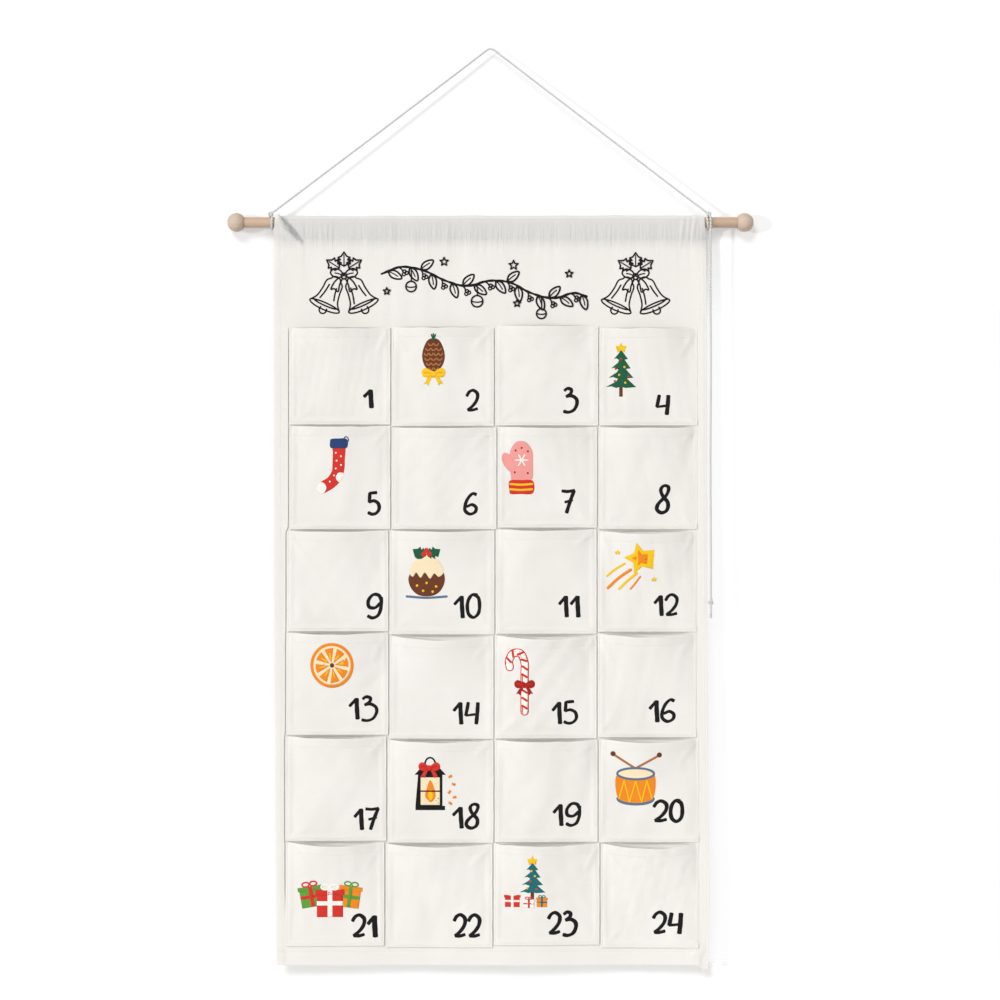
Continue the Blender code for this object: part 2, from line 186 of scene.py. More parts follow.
class WoodSettings(bpy.types.PropertyGroup):
    dowel_radius: distance("Dowel radius", "Half the dowel's thickness", 0.006)
    dowel_length: distance("Dowel length", "End to end, inside the balls", 0.59)
    ball_radius: distance("Ball radius", "Half a ball's thickness", 0.01075)
    ball_offset: distance("Ball offset", "From the middle of the dowel to a ball's centre", 0.2925)
    dowel_light: colour("Dowel, light wood", "Early wood of the dowel", "#D0B69E")
    dowel_dark: colour("Dowel, dark wood", "Late wood and flecks of the dowel", "#B39176")
    ball_light: colour("Balls, light wood", "Early wood of the balls, cut from a paler timber", "#D6C4B2")
    ball_dark: colour("Balls, dark wood", "Late wood and flecks of the balls", "#B89E89")


class PrintSettings(bpy.types.PropertyGroup):
    stroke: distance("Number stroke", "Width of the line that draws the numbers", 0.0041)
    fine_stroke: distance("Fine stroke", "Width of the line that draws the header", 0.0018)
    lift: distance("Ink lift", "How far the lowest ink stands off the cloth", 0.00012)
    ink_layer: distance("Ink layer", "From one printed ink to the next above it", 0.000008)


class StageSettings(bpy.types.PropertyGroup):
    wall_gap: distance("Wall", "From the hanging plane to the wall behind, at the rod", 0.0112)
    foot_gap: distance("Wall at the foot", "From the hanging plane to the wall behind, at the bottom hem", 0.0046)
    floor_drop: distance("Floor", "From the nail down to the floor", 1.75)
    camera_distance: distance("Camera distance", "From the lens to the hanging plane", 2.72)
    wall_colour: colour("Wall colour", "Matt wall paint", "#FFFFFF")
    floor_colour: colour("Floor colour", "Matt pale floor", "#F1F0EE")


# ---------------------------------------------------------------- helpers for meshes


def only(obj):
    """Selects one object and makes it active."""
    bpy.ops.object.select_all(action="DESELECT")
    obj.select_set(True)
    bpy.context.view_layer.objects.active = obj


def shape_with(obj, kind, **settings):
    """Adds a modifier with its settings and applies it."""
    modifier = obj.modifiers.new(kind.lower(), kind)
    for name, value in settings.items():
        setattr(modifier, name, value)
    only(obj)
    bpy.ops.object.modifier_apply(modifier=modifier.name)


def new_piece(name, points, faces, materials, uvs=None):
    """A mesh object at the origin, with its place in its mesh. uvs are given per point."""
    mesh = bpy.data.meshes.new(name)
    mesh.from_pydata([tuple(map(float, p)) for p in points], [], [tuple(map(int, f)) for f in faces])
    mesh.update()
    if uvs is not None:
        corner_points = np.zeros(len(mesh.loops), dtype=np.int32)
        mesh.loops.foreach_get("vertex_index", corner_points)
        layer = mesh.uv_layers.new(name="weave")
        layer.data.foreach_set("uv", np.asarray(uvs, np.float32)[corner_points].ravel())
    for material in materials:
        mesh.materials.append(material)
    mesh.shade_smooth()
    obj = bpy.data.objects.new(name, mesh)
    bpy.context.scene.collection.objects.link(obj)
    return obj


def dress(obj, body, slot, *nodes):
    """The piece rides on a body and stands for the nodes named, which are hidden. The slot is not used."""
    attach(obj, body)
    if nodes:
        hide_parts(*nodes)


def grid_faces(rows, columns):
    """Quads of a grid whose points are stored row by row."""
    row, column = np.mgrid[0 : rows - 1, 0 : columns - 1]
    first = (row * columns + column).ravel()
    return np.stack([first, first + 1, first + columns + 1, first + columns], axis=1)


def smooth_line(points, spacing):
    """A centripetal Catmull-Rom curve through the points, read at an even spacing."""
    points = np.asarray(points, float)
    padded = np.vstack([2 * points[0] - points[1], points, 2 * points[-1] - points[-2]])
    found = []
    for index in range(1, len(padded) - 2):
        p0, p1, p2, p3 = padded[index - 1 : index + 3]
        t1 = max(np.linalg.norm(p1 - p0), 1e-9) ** 0.5
        t2 = t1 + max(np.linalg.norm(p2 - p1), 1e-9) ** 0.5
        t3 = t2 + max(np.linalg.norm(p3 - p2), 1e-9) ** 0.5
        for t in np.linspace(t1, t2, 16, endpoint=False):
            a1 = (t1 - t) / t1 * p0 + t / t1 * p1
            a2 = (t2 - t) / (t2 - t1) * p1 + (t - t1) / (t2 - t1) * p2
            a3 = (t3 - t) / (t3 - t2) * p2 + (t - t2) / (t3 - t2) * p3
            b1 = (t2 - t) / t2 * a1 + t / t2 * a2
            b2 = (t3 - t) / (t3 - t1) * a2 + (t - t1) / (t3 - t1) * a3
            found.append((t2 - t) / (t2 - t1) * b1 + (t - t1) / (t2 - t1) * b2)
    found = np.vstack([*found, points[-1]])
    run = np.concatenate([[0.0], np.cumsum(np.linalg.norm(np.diff(found, axis=0), axis=1))])
    marks = np.linspace(0.0, run[-1], max(int(round(run[-1] / spacing)), 2) + 1)
    return np.stack([np.interp(marks, run, found[:, axis]) for axis in range(points.shape[1])], axis=1)


def line_length(points):
    """Length along a row of points."""
    return float(np.linalg.norm(np.diff(points, axis=0), axis=1).sum())


def carried_frames(line):
    """Two side directions along a line, carried on without any twist of their own."""
    tangents = np.gradient(line, axis=0)
    tangents /= np.linalg.norm(tangents, axis=1, keepdims=True)
    sides = np.zeros_like(line)
    side = np.cross(tangents[0], (0.0, 1.0, 0.0))
    for index, tangent in enumerate(tangents):
        side = side - tangent * side.dot(tangent)
        side /= np.linalg.norm(side)
        sides[index] = side
    return sides, np.cross(tangents, sides)


def tube(rings, looped=False):
    """Points and faces of a tube through rings of points, closed at its ends or joined into a loop."""
    count, sides = rings.shape[:2]
    faces = []
    for ring in range(count if looped else count - 1):
        for side in range(sides):
            here = ring * sides
            after = (ring + 1) % count * sides
            faces.append((here + side, here + (side + 1) % sides, after + (side + 1) % sides, after + side))
    if not looped:
        faces.append(tuple(range(sides))[::-1])
        faces.append(tuple((count - 1) * sides + side for side in range(sides)))
    return rings.reshape(-1, 3), faces


def joined(parts):
    """Points and faces of several parts as one list each."""
    points, faces, start = [], [], 0
    for part_points, part_faces in parts:
        points.append(np.asarray(part_points))
        faces.extend([tuple(index + start for index in face) for face in part_faces])
        start += len(part_points)
    return np.vstack(points), faces


def outward(obj):
    """Recalculates a closed mesh's faces to point out."""
    only(obj)
    bpy.ops.object.mode_set(mode="EDIT")
    bpy.ops.mesh.select_all(action="SELECT")
    bpy.ops.mesh.normals_make_consistent(inside=False)
    bpy.ops.object.mode_set(mode="OBJECT")


def held(value):
    """A value held between 0 and 1."""
    return np.clip(value, 0.0, 1.0)


def eased(share):
    """A share from 0 to 1 with a soft start and end."""
    return share * share * (3 - 2 * share)


def ripples(x, z, seed, size_x, size_z, count=9):
    """Soft uneven waves of about that size, mostly within -1 to 1, the same on every run."""
    draw = np.random.default_rng(seed)
    total = np.zeros(np.broadcast(x, z).shape)
    for _ in range(count):
        along, down, turn = draw.normal(0, 1), draw.normal(0, 1), draw.uniform(0, 2 * math.pi)
        total += np.cos(2 * math.pi * (along * x / size_x + down * z / size_z) / 2 + turn)
    return total / math.sqrt(count)


def crease(x, z, start, end, width, height):
    """A straight soft ridge from start to end that fades towards both."""
    run_x, run_z = end[0] - start[0], end[1] - start[1]
    length = math.hypot(run_x, run_z)
    along = held(((x - start[0]) * run_x + (z - start[1]) * run_z) / length**2)
    off = ((x - start[0]) * run_z - (z - start[1]) * run_x) / length
    return height * np.exp(-((off / width) ** 2)) * np.sin(math.pi * along) ** 0.7


def groove(off, width, depth):
    """How far a line of stitches pulls the cloth in, at a distance off it."""
    return depth * np.exp(-((off / width) ** 2))


# ---------------------------------------------------------------- helpers for materials


def add_node(material, kind, settings=None, sockets=None):
    """Adds a node, sets its settings and sets or links its sockets."""
    node = material.node_tree.nodes.new(kind)
    for name, value in (settings or {}).items():
        setattr(node, name, value)
    for key, value in (sockets or {}).items():
        if isinstance(value, bpy.types.NodeSocket):
            material.node_tree.links.new(value, node.inputs[key])
        else:
            node.inputs[key].default_value = value
    return node


def new_material(name, roughness, ior=1.5, sheen=0.0):
    """A material with its shader, whose constants are set on their own sockets."""
    material = bpy.data.materials.new(name)
    material.use_nodes = True
    shader = material.node_tree.nodes["Principled BSDF"]
    shader.inputs["Roughness"].default_value = roughness
    shader.inputs["IOR"].default_value = ior
    shader.inputs["Sheen Weight"].default_value = sheen
    shader.inputs["Sheen Roughness"].default_value = 0.5
    return material, shader


def shade(value, factor):
    """A linear colour made lighter or darker."""
    return (*[min(part * factor, 1.0) for part in value[:3]], 1.0)


def mixed(material, factor, first, second):
    """A colour between two, by factor."""
    node = add_node(material, "ShaderNodeMix", {"data_type": "RGBA"}, {0: factor, 6: first, 7: second})
    return node.outputs[2]


def maths(material, operation, first, second=0.0):
    """One sum on values."""
    node = add_node(material, "ShaderNodeMath", {"operation": operation}, {0: first, 1: second})
    return node.outputs[0]


def mapped(material, value, low=0.0, high=1.0, to_low=0.0, to_high=1.0):
    """A value's run from low to high spread over another range, and held to it."""
    sockets = {"Value": value, "From Min": low, "From Max": high, "To Min": to_low, "To Max": to_high}
    return add_node(material, "ShaderNodeMapRange", None, sockets).outputs[0]


def point_value(material, name):
    """A value that the mesh stores for each point."""
    return add_node(material, "ShaderNodeAttribute", {"attribute_name": name}).outputs["Fac"]


def own_place(material):
    """Places in the object's own axes, in metres."""
    return add_node(material, "ShaderNodeTexCoord").outputs["Object"]


def cloth_map(material):
    """The map along the threads, in metres."""
    return add_node(material, "ShaderNodeUVMap", {"uv_map": "weave"}).outputs[0]


def link_input(material, value, shader, name):
    """Links a value to the shader's input of that name."""
    material.node_tree.links.new(value, shader.inputs[name])


def noise_value(material, vector, stretch, scale=1.0, detail=2.0, roughness=0.5):
    """Noise whose grain is stretched by the three factors, in grains per metre."""
    place = add_node(material, "ShaderNodeMapping", None, {"Vector": vector, "Scale": stretch})
    node = add_node(
        material,
        "ShaderNodeTexNoise",
        None,
        {"Vector": place.outputs[0], "Scale": scale, "Detail": detail, "Roughness": roughness},
    )
    return node.outputs[0]


def weave_height(material, vector, spacing, across="X", down="Y"):
    """The bumps of a plain weave: one over each crossing of two threads."""
    split = add_node(material, "ShaderNodeSeparateXYZ", None, {0: vector})
    waves = []
    for axis in (across, down):
        turned = maths(material, "MULTIPLY", split.outputs[axis], math.pi / spacing)
        waves.append(maths(material, "SINE", turned))
    product = maths(material, "MULTIPLY", *waves)
    return maths(material, "ABSOLUTE", product)


def bumped(material, shader, heights):
    """Chains bumps, each given as its height value, depth in metres and strength, into the shader."""
    normal = None
    for height, depth, strength in heights:
        sockets = {"Height": height, "Distance": depth, "Strength": strength}
        if normal is not None:
            sockets["Normal"] = normal
        normal = add_node(material, "ShaderNodeBump", None, sockets).outputs[0]
    link_input(material, normal, shader, "Normal")


def canvas_material(name, base, spacing, slub):
    """Plain-woven cotton canvas, washed and unbleached: matt, faintly fuzzy, with thick threads and slow unevenness.

    The thread spacing is the real one, 16 threads a centimetre, and shows near to. The slubs are drawn about twice
    as wide as real ones, so that they show from where the photograph was taken."""
    material, shader = new_material(name, 0.92, sheen=0.12)
    flat = cloth_map(material)
    weave = weave_height(material, flat, spacing)
    warp = noise_value(material, flat, (1 / slub, 1 / 0.045, 1.0), detail=3.0)
    weft = noise_value(material, flat, (1 / 0.035, 1 / slub, 1.0), detail=3.0)
    slubs = maths(material, "MULTIPLY", maths(material, "ADD", warp, weft), 0.5)
    cloudy = noise_value(material, flat, (14.0, 11.0, 1.0), detail=3.0)
    fuzz_and_highlight = point_value(material, "edge")
    tone = mixed(material, slubs, shade(base, 0.955), shade(base, 1.035))
    dull = (*shade(base, 0.945)[:2], base[2] * 0.905, 1.0)
    tone = mixed(material, maths(material, "MULTIPLY", cloudy, 0.6), tone, dull)
    # Painted shade: where painted_shade is 1 the canvas is darkened to about half its colour. This stands in for the
    # shade on the sleeve over the rod and in the core of the top-left fold.
    painted_shade = point_value(material, "painted_shade")
    tone = mixed(material, painted_shade, tone, (base[0] * 0.46, base[1] * 0.495, base[2] * 0.53, 1.0))
    raised = maths(material, "ADD", maths(material, "MULTIPLY", weave, 0.35), 0.65)
    tone = mixed(material, raised, shade(base, 0.93), tone)
    # Partly painted highlight: the canvas is lightened along folded edges and rims, for their fuzz and for the light
    # that they catch.
    tone = mixed(material, maths(material, "MULTIPLY", fuzz_and_highlight, 0.35), tone, shade(base, 1.05))
    link_input(material, tone, shader, "Base Color")
    link_input(material, mapped(material, slubs, to_low=0.98, to_high=0.84), shader, "Roughness")
    pleated = point_value(material, "pleats")
    pleats = noise_value(material, flat, (1 / 0.0034, 1 / 0.05, 1.0), detail=2.0)
    pleats = maths(material, "MULTIPLY", pleats, pleated)
    bumped(material, shader, [(pleats, 0.0012, 1.0), (slubs, 0.00016, 0.55), (weave, 0.00014, 0.5)])
    return material


def cord_material(name, base):
    """Bleached cotton yarn, twisted: matt and hairy, its fine fibres lying along each strand."""
    material, shader = new_material(name, 0.95, sheen=0.25)
    along = cloth_map(material)
    fibres = noise_value(material, along, (9.0, 260.0, 1.0), detail=3.0, roughness=0.6)
    patches = noise_value(material, along, (1.0, 60.0, 1.0), detail=1.0)
    tone = mixed(material, fibres, shade(base, 0.80), shade(base, 1.10))
    tone = mixed(material, maths(material, "MULTIPLY", patches, 0.35), tone, shade(base, 0.86))
    link_input(material, tone, shader, "Base Color")
    bumped(material, shader, [(fibres, 0.00018, 0.7)])
    return material


def thread_material(name, base):
    """Cotton sewing thread, mercerised: a fine two-ply twist with a slight sheen."""
    material, shader = new_material(name, 0.7, sheen=0.3)
    place = own_place(material)
    twist = add_node(
        material,
        "ShaderNodeTexWave",
        {"bands_direction": "DIAGONAL"},
        {"Vector": place, "Scale": 1100.0, "Distortion": 1.0},
    ).outputs[1]
    tone = mixed(material, twist, shade(base, 0.88), shade(base, 1.04))
    link_input(material, tone, shader, "Base Color")
    bumped(material, shader, [(twist, 0.00005, 0.5)])
    return material


def wood_material(name, light, dark):
    """Pale turned hardwood, sanded and left raw: straight fine grain along the rod, short darker flecks."""
    material, shader = new_material(name, 0.62)
    place = own_place(material)
    bands = noise_value(material, place, (5.0, 420.0, 420.0), detail=3.0, roughness=0.6)
    flecks = noise_value(material, place, (260.0, 2600.0, 2600.0), detail=1.0)
    clouds = noise_value(material, place, (30.0, 60.0, 60.0), detail=2.0)
    sharp = mapped(material, flecks, 0.60, 0.68)
    tone = mixed(material, bands, light, dark)
    tone = mixed(material, maths(material, "MULTIPLY", clouds, 0.5), tone, shade(light, 0.97))
    tone = mixed(material, maths(material, "MULTIPLY", sharp, 0.35), tone, shade(dark, 0.72))
    link_input(material, tone, shader, "Base Color")
    link_input(material, mapped(material, bands, to_low=0.5, to_high=0.72), shader, "Roughness")
    bumped(material, shader, [(bands, 0.00012, 0.4), (sharp, 0.00008, 0.5)])
    return material


def ink_material(name, base, spacing):
    """Water-based screen-printing ink, dried into canvas: matt, the weave showing through, cover a little uneven."""
    material, shader = new_material(name, 0.85)
    place = own_place(material)
    weave = weave_height(material, place, spacing, "X", "Z")
    cover = noise_value(material, place, (900.0, 900.0, 900.0), detail=2.0)
    thin = mapped(material, cover, 0.55, 0.75, to_high=0.3)
    shader.inputs["Specular IOR Level"].default_value = 0.2
    lifted = tuple(part * 0.9 + 0.07 for part in base[:3])
    tone = mixed(material, thin, base, (*lifted, 1.0))
    raised = maths(material, "ADD", maths(material, "MULTIPLY", weave, 0.3), 0.5)
    tone = mixed(material, raised, shade(base, 0.86), tone)
    link_input(material, tone, shader, "Base Color")
    bumped(material, shader, [(weave, 0.00008, 0.5)])
    return material


INKS = {
    "black": "#111012", "white": "#FAF6EE", "red": "#D5352B", "dark_red": "#A5231E", "green": "#1E5C40",
    "leaf": "#5F9B3A", "teal": "#1F6B70", "yellow": "#F6C61E", "orange": "#EF8A24", "brown": "#6A3A24",
    "tan": "#B0713F", "navy": "#2B4272", "pink": "#EE9E98", "slate": "#5B7590", "cream": "#F6E3BE",
}


def material_named(name, maker, *values):
    """The material of that name, made the first time that it is asked for."""
    return bpy.data.materials.get(name) or maker(name, *values)


def ink_named(ink):
    """The material of an ink in the list."""
    spacing = bpy.context.scene.calendar_cloth.thread_spacing
    name = "Screen_printing_ink_" + ink
    return material_named(name, ink_material, linear(INKS[ink]), spacing)


# ---------------------------------------------------------------- the cloth's surface


def hang_share(z):
    """How far down the hanging cloth a height lies, from its stitched line to its bottom."""
    return held((STITCH_Z - z) / (STITCH_Z - BOTTOM_Z))


def cloth_edges(z):
    """The panel's left and right edge at a height."""
    share = hang_share(z)
    half = CLOTH_WIDTH / 2
    return -half * np.interp(share, EDGE_HEIGHTS, LEFT_EDGE), half * np.interp(share, EDGE_HEIGHTS, RIGHT_EDGE)


def pocket_line():
    """The left edges of the first column's pockets from the bottom up, as heights and places."""
    heights, places = [], []
    for number in range(21, 0, -4):
        low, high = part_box(f"pocket_{number:02d}")
        heights += [low.z + LINE_INSET, high.z - LINE_INSET]
        places += [low.x - POCKET_SPREAD] * 2
    return np.array(heights), np.array(places)


LINE_HEIGHTS, LINE_PLACES = pocket_line()


def left_strip(x, z):
    """How far the left margin stands out: up to a narrow gap beside the first column, from its mouths to its foot."""
    off = np.interp(z, LINE_HEIGHTS, LINE_PLACES) - STRIP_GAP - x
    across = held(off / STRIP_FALL)
    top = held((LINE_HEIGHTS[-1] + 0.004 - z) / 0.008)
    foot = held((z - LINE_HEIGHTS[0] - 0.040) / 0.030)
    return STRIP_HEIGHT * eased(across) * eased(top) * foot


def hang_depth(x, z):
    """The slow upright folds and the slight bow that the frame's panel has."""
    share = hang_share(z)
    fold = FOLD_DEPTH * share * np.sin(2 * math.pi * x / FOLD_PITCH + FOLD_PHASE)
    bow = BOW_DEPTH * np.sin(math.pi * share) * np.cos(math.pi * x / CLOTH_WIDTH)
    return -fold - bow


def relief(x, z):
    """How far the cloth stands out from those folds: slow unevenness, gathers, creases and stitched lines."""
    left, right = cloth_edges(z)
    edge = np.minimum(x - left, right - x)
    below = STITCH_Z - z
    height = 0.00035 * ripples(x, z, 3, 0.09, 0.15) + 0.00012 * ripples(x, z, 5, 0.028, 0.05)
    gather = np.exp(-np.abs(below - 0.004 * (below < 0)) / 0.020)
    height += 0.00050 * gather * ripples(x, z * 0.12, 7, 0.010, 0.3, 14)
    header = held(1 - np.abs(below - 0.05) / 0.09)
    height += 0.00022 * header * ripples(x, z, 11, 0.022, 0.30)
    height -= groove(below, 0.0030, 0.00012)
    height -= groove(edge - SIDE_STITCH, 0.0009, 0.00028)
    height -= groove(z - BOTTOM_Z - BOTTOM_STITCH, 0.0010, 0.00028)
    hem_left = held((SIDE_HEM + 0.0024 - (x - left)) / 0.0030)
    hem_right = held((SIDE_HEM + 0.0012 - (right - x)) / 0.0016)
    settled = held(below / 0.03)
    height += (0.00045 * eased(hem_left) + 0.00035 * hem_right) * settled + left_strip(x, z)
    height += 0.00022 * settled * np.cos(2 * math.pi * (right - x) / 0.0036) * np.exp(-(right - x) / 0.009)
    for step in range(3):
        low = (0.2290 + 0.0050 * step, -1.0510 + 0.002 * step)
        height += crease(x, z, low, (low[0] + 0.013, low[1] + 0.024), 0.0015, 0.0009)
    return height


# Each fold's start and end as x and z, its width and its height, negative where it runs in.
FOLDS = (
    ((-0.2515, -0.1840), (-0.2165, -0.2235), 0.0018, 0.0058),
    ((-0.2495, -0.1822), (-0.2145, -0.2217), 0.0016, -0.0013),
    ((-0.1146, -0.205), (-0.1150, -0.330), 0.0028, -0.00060),
    ((0.222, -0.192), (0.218, -0.232), 0.0024, 0.0013),
    ((0.229, -0.190), (0.2265, -0.225), 0.0016, 0.0010),
    ((0.236, -0.190), (0.231, -0.226), 0.0018, 0.0011),
)


def folds(x, z):
    """The sharper folds that run down from the cord's loops, and one long crease."""
    return sum(crease(x, z, *fold) for fold in FOLDS)


def cloth_front(x, z):
    """Depth of the panel's front face."""
    return hang_depth(x, z) - FRONT_SHIFT - relief(x, z) - folds(x, z)


def surface_at(tree, x, z, side=-1):
    """Where a line along Y meets a surface from the front, or from behind with side 1, and its normal."""
    place, normal, _, _ = tree.ray_cast(Vector((float(x), side * 0.3, float(z))), Vector((0.0, -side, 0.0)))
    return place, normal


def tree_of(obj):
    """A search tree of an object's faces."""
    mesh = obj.data
    points = [vertex.co.copy() for vertex in mesh.vertices]
    return BVHTree.FromPolygons(points, [tuple(face.vertices) for face in mesh.polygons])


def mark_points(obj, name, values):
    """Stores a value for each point, which the canvas reads by its name."""
    attribute = obj.data.attributes.new(name, "FLOAT", "POINT")
    attribute.data.foreach_set("value", np.asarray(values, np.float32))


def thick_cloth(obj, weights, edge, thickness):
    """Gives a front face its thickness behind it, doubled where weights say that it is hemmed."""
    group = obj.vertex_groups.new(name="layers")
    for index, weight in enumerate(weights):
        group.add([index], float(weight), "REPLACE")
    # The edge value lightens the canvas along rims: partly fuzz, partly painted highlight.
    mark_points(obj, "edge", edge)
    shape_with(obj, "SOLIDIFY", thickness=thickness, offset=-1.0, vertex_group="layers")
    obj.vertex_groups.clear()
    only(obj)
    bpy.ops.object.shade_smooth_by_angle(angle=math.radians(38.0))


EDGE_STEPS = np.array((0.0, 0.00022, 0.0007, 0.0016, 0.0030))
EDGE_ROUNDING = (0.00040, 0.00012, 0.00002)


def rounded_edge(off):
    """How far a folded edge turns back, at a distance from it."""
    return np.interp(off, EDGE_STEPS[:4], (*EDGE_ROUNDING, 0.0))


def mouth_hollow(x, z, tops):
    """How far the panel falls back behind the pockets' mouths, tops being each pocket's left, right and top."""
    depth = np.zeros_like(x)
    for left, right, top in tops:
        inside = held((x - left - 0.006) / (right - left - 0.012))
        below = top - z
        lip = held((below + 0.0006) / 0.0022) * held((0.017 - below) / 0.010)
        depth += MOUTH_HOLLOW * np.sin(math.pi * inside) ** 0.8 * lip
    return depth


NEAR_WIDTH = 0.040
NEAR_STEPS = np.array((0.0040, 0.0052, 0.0064, 0.0078, 0.0088))
LINE_STEPS = np.array((-0.0016, -0.00115, -0.0007, -0.0002, 0.0006))


def panel_columns(line, spacing=0.0036):
    """Distances from the left edge, then from the right edge, of the columns near them, and shares of the middle.

    Near the left, columns follow the pockets' edge, whose distance is given."""
    before = np.linspace(NEAR_STEPS[-1], line + LINE_STEPS[0], 4)[1:-1]
    after = np.linspace(line + LINE_STEPS[-1], NEAR_WIDTH, 17)[1:]
    left = np.concatenate([EDGE_STEPS, NEAR_STEPS, before, line + LINE_STEPS, after])
    right = np.concatenate([EDGE_STEPS, NEAR_STEPS, np.arange(0.0102, NEAR_WIDTH - 0.0007, 0.0014), [NEAR_WIDTH]])
    middle = np.linspace(0.0, 1.0, int(round((CLOTH_WIDTH - 2 * NEAR_WIDTH) / spacing)) + 1)[1:-1]
    return left, right, middle


FLAP_ROWS = (FLAP_LAP, 0.0057, 0.0050, 0.0035, 0.0018, 0.0006)
SLEEVE_BACK_SHARES = (0.0, 0.12, 0.35, 0.6, 0.8)
SLEEVE_FRONT_SHARES = (0.14, 0.28, 0.42, 0.56, 0.68, 0.79, 0.88, 0.95)
STITCH_ROWS = (0.0, 0.0007, 0.0014, 0.0024, 0.0038, 0.0056)
HEM_ROWS = (0.8184, 0.8192, 0.8199, 0.8206, 0.8214, 0.8235, 0.8260, 0.8290, 0.8320)
MOUTH_ROWS = np.array((
    -0.0035, -0.0020, -0.0010, 0.0, 0.0010, 0.0020, 0.0032, 0.0046, 0.0062, 0.0080, 0.0105, 0.0135,
))
ROW_CLEARANCE = 0.0008
MOUTH_REACH = 0.02


def panel_profile(mouths):
    """The rows of the cloth from the flap behind the rod, over it and down to the bottom.

    Each row is y, z, the outward direction in those two, how far it belongs to the flap and how far it is eased
    forward. It takes the height of each row of pockets' mouths, and is finer near them."""
    drop, back = ROD_Z - STITCH_Z, FLAP_DEPTH
    rows = [(back, ROD_Z - drop - lap, 1.0, 0.0, 1.0, 0.0) for lap in FLAP_ROWS]
    reach = math.acos(SLEEVE_RADIUS / drop)
    back_angle = math.atan2(-drop, back) + reach
    front_angle = math.atan2(-drop, -FRONT_SHIFT) - reach + 2 * math.pi
    turns = [(SLEEVE_RADIUS * math.cos(a), SLEEVE_RADIUS * math.sin(a)) for a in (back_angle, front_angle)]
    for share in SLEEVE_BACK_SHARES:
        y = back + (turns[0][0] - back) * share
        z = -drop + (turns[0][1] + drop) * share
        rows.append((y, ROD_Z + z, math.cos(back_angle), math.sin(back_angle), 1.0 - share, 0.0))
    for angle in np.linspace(back_angle, front_angle, 24):
        y, z = math.cos(angle), math.sin(angle)
        rows.append((SLEEVE_RADIUS * y, ROD_Z + SLEEVE_RADIUS * z, y, z, 0.0, 0.0))
    for share in SLEEVE_FRONT_SHARES:
        y = turns[1][0] + (-FRONT_SHIFT - SLEEVE_EASE - turns[1][0]) * share
        z = turns[1][1] + (-drop - turns[1][1]) * share
        rows.append((y, ROD_Z + z, math.cos(front_angle), math.sin(front_angle), 0.0, SLEEVE_EASE * share))
    lower = np.concatenate(
        [
            STITCH_ROWS,
            np.arange(0.0078, 0.0940, 0.0031),
            np.arange(0.0940, 0.8130, 0.0088),
            HEM_ROWS,
            0.8355 - EDGE_STEPS[::-1][1:],
        ]
    )
    for mouth in mouths:
        near = STITCH_Z - mouth + MOUTH_ROWS
        clear = (lower < near[0] - ROW_CLEARANCE) | (lower > near[-1] + ROW_CLEARANCE)
        lower = np.concatenate([lower[clear], near])
    for low in np.sort(lower):
        ease = SLEEVE_EASE * math.exp(-low / SLEEVE_EASE_DROP)
        rows.append((-FRONT_SHIFT - ease, STITCH_Z - low, -1.0, 0.0, 0.0, ease))
    return np.array(rows)


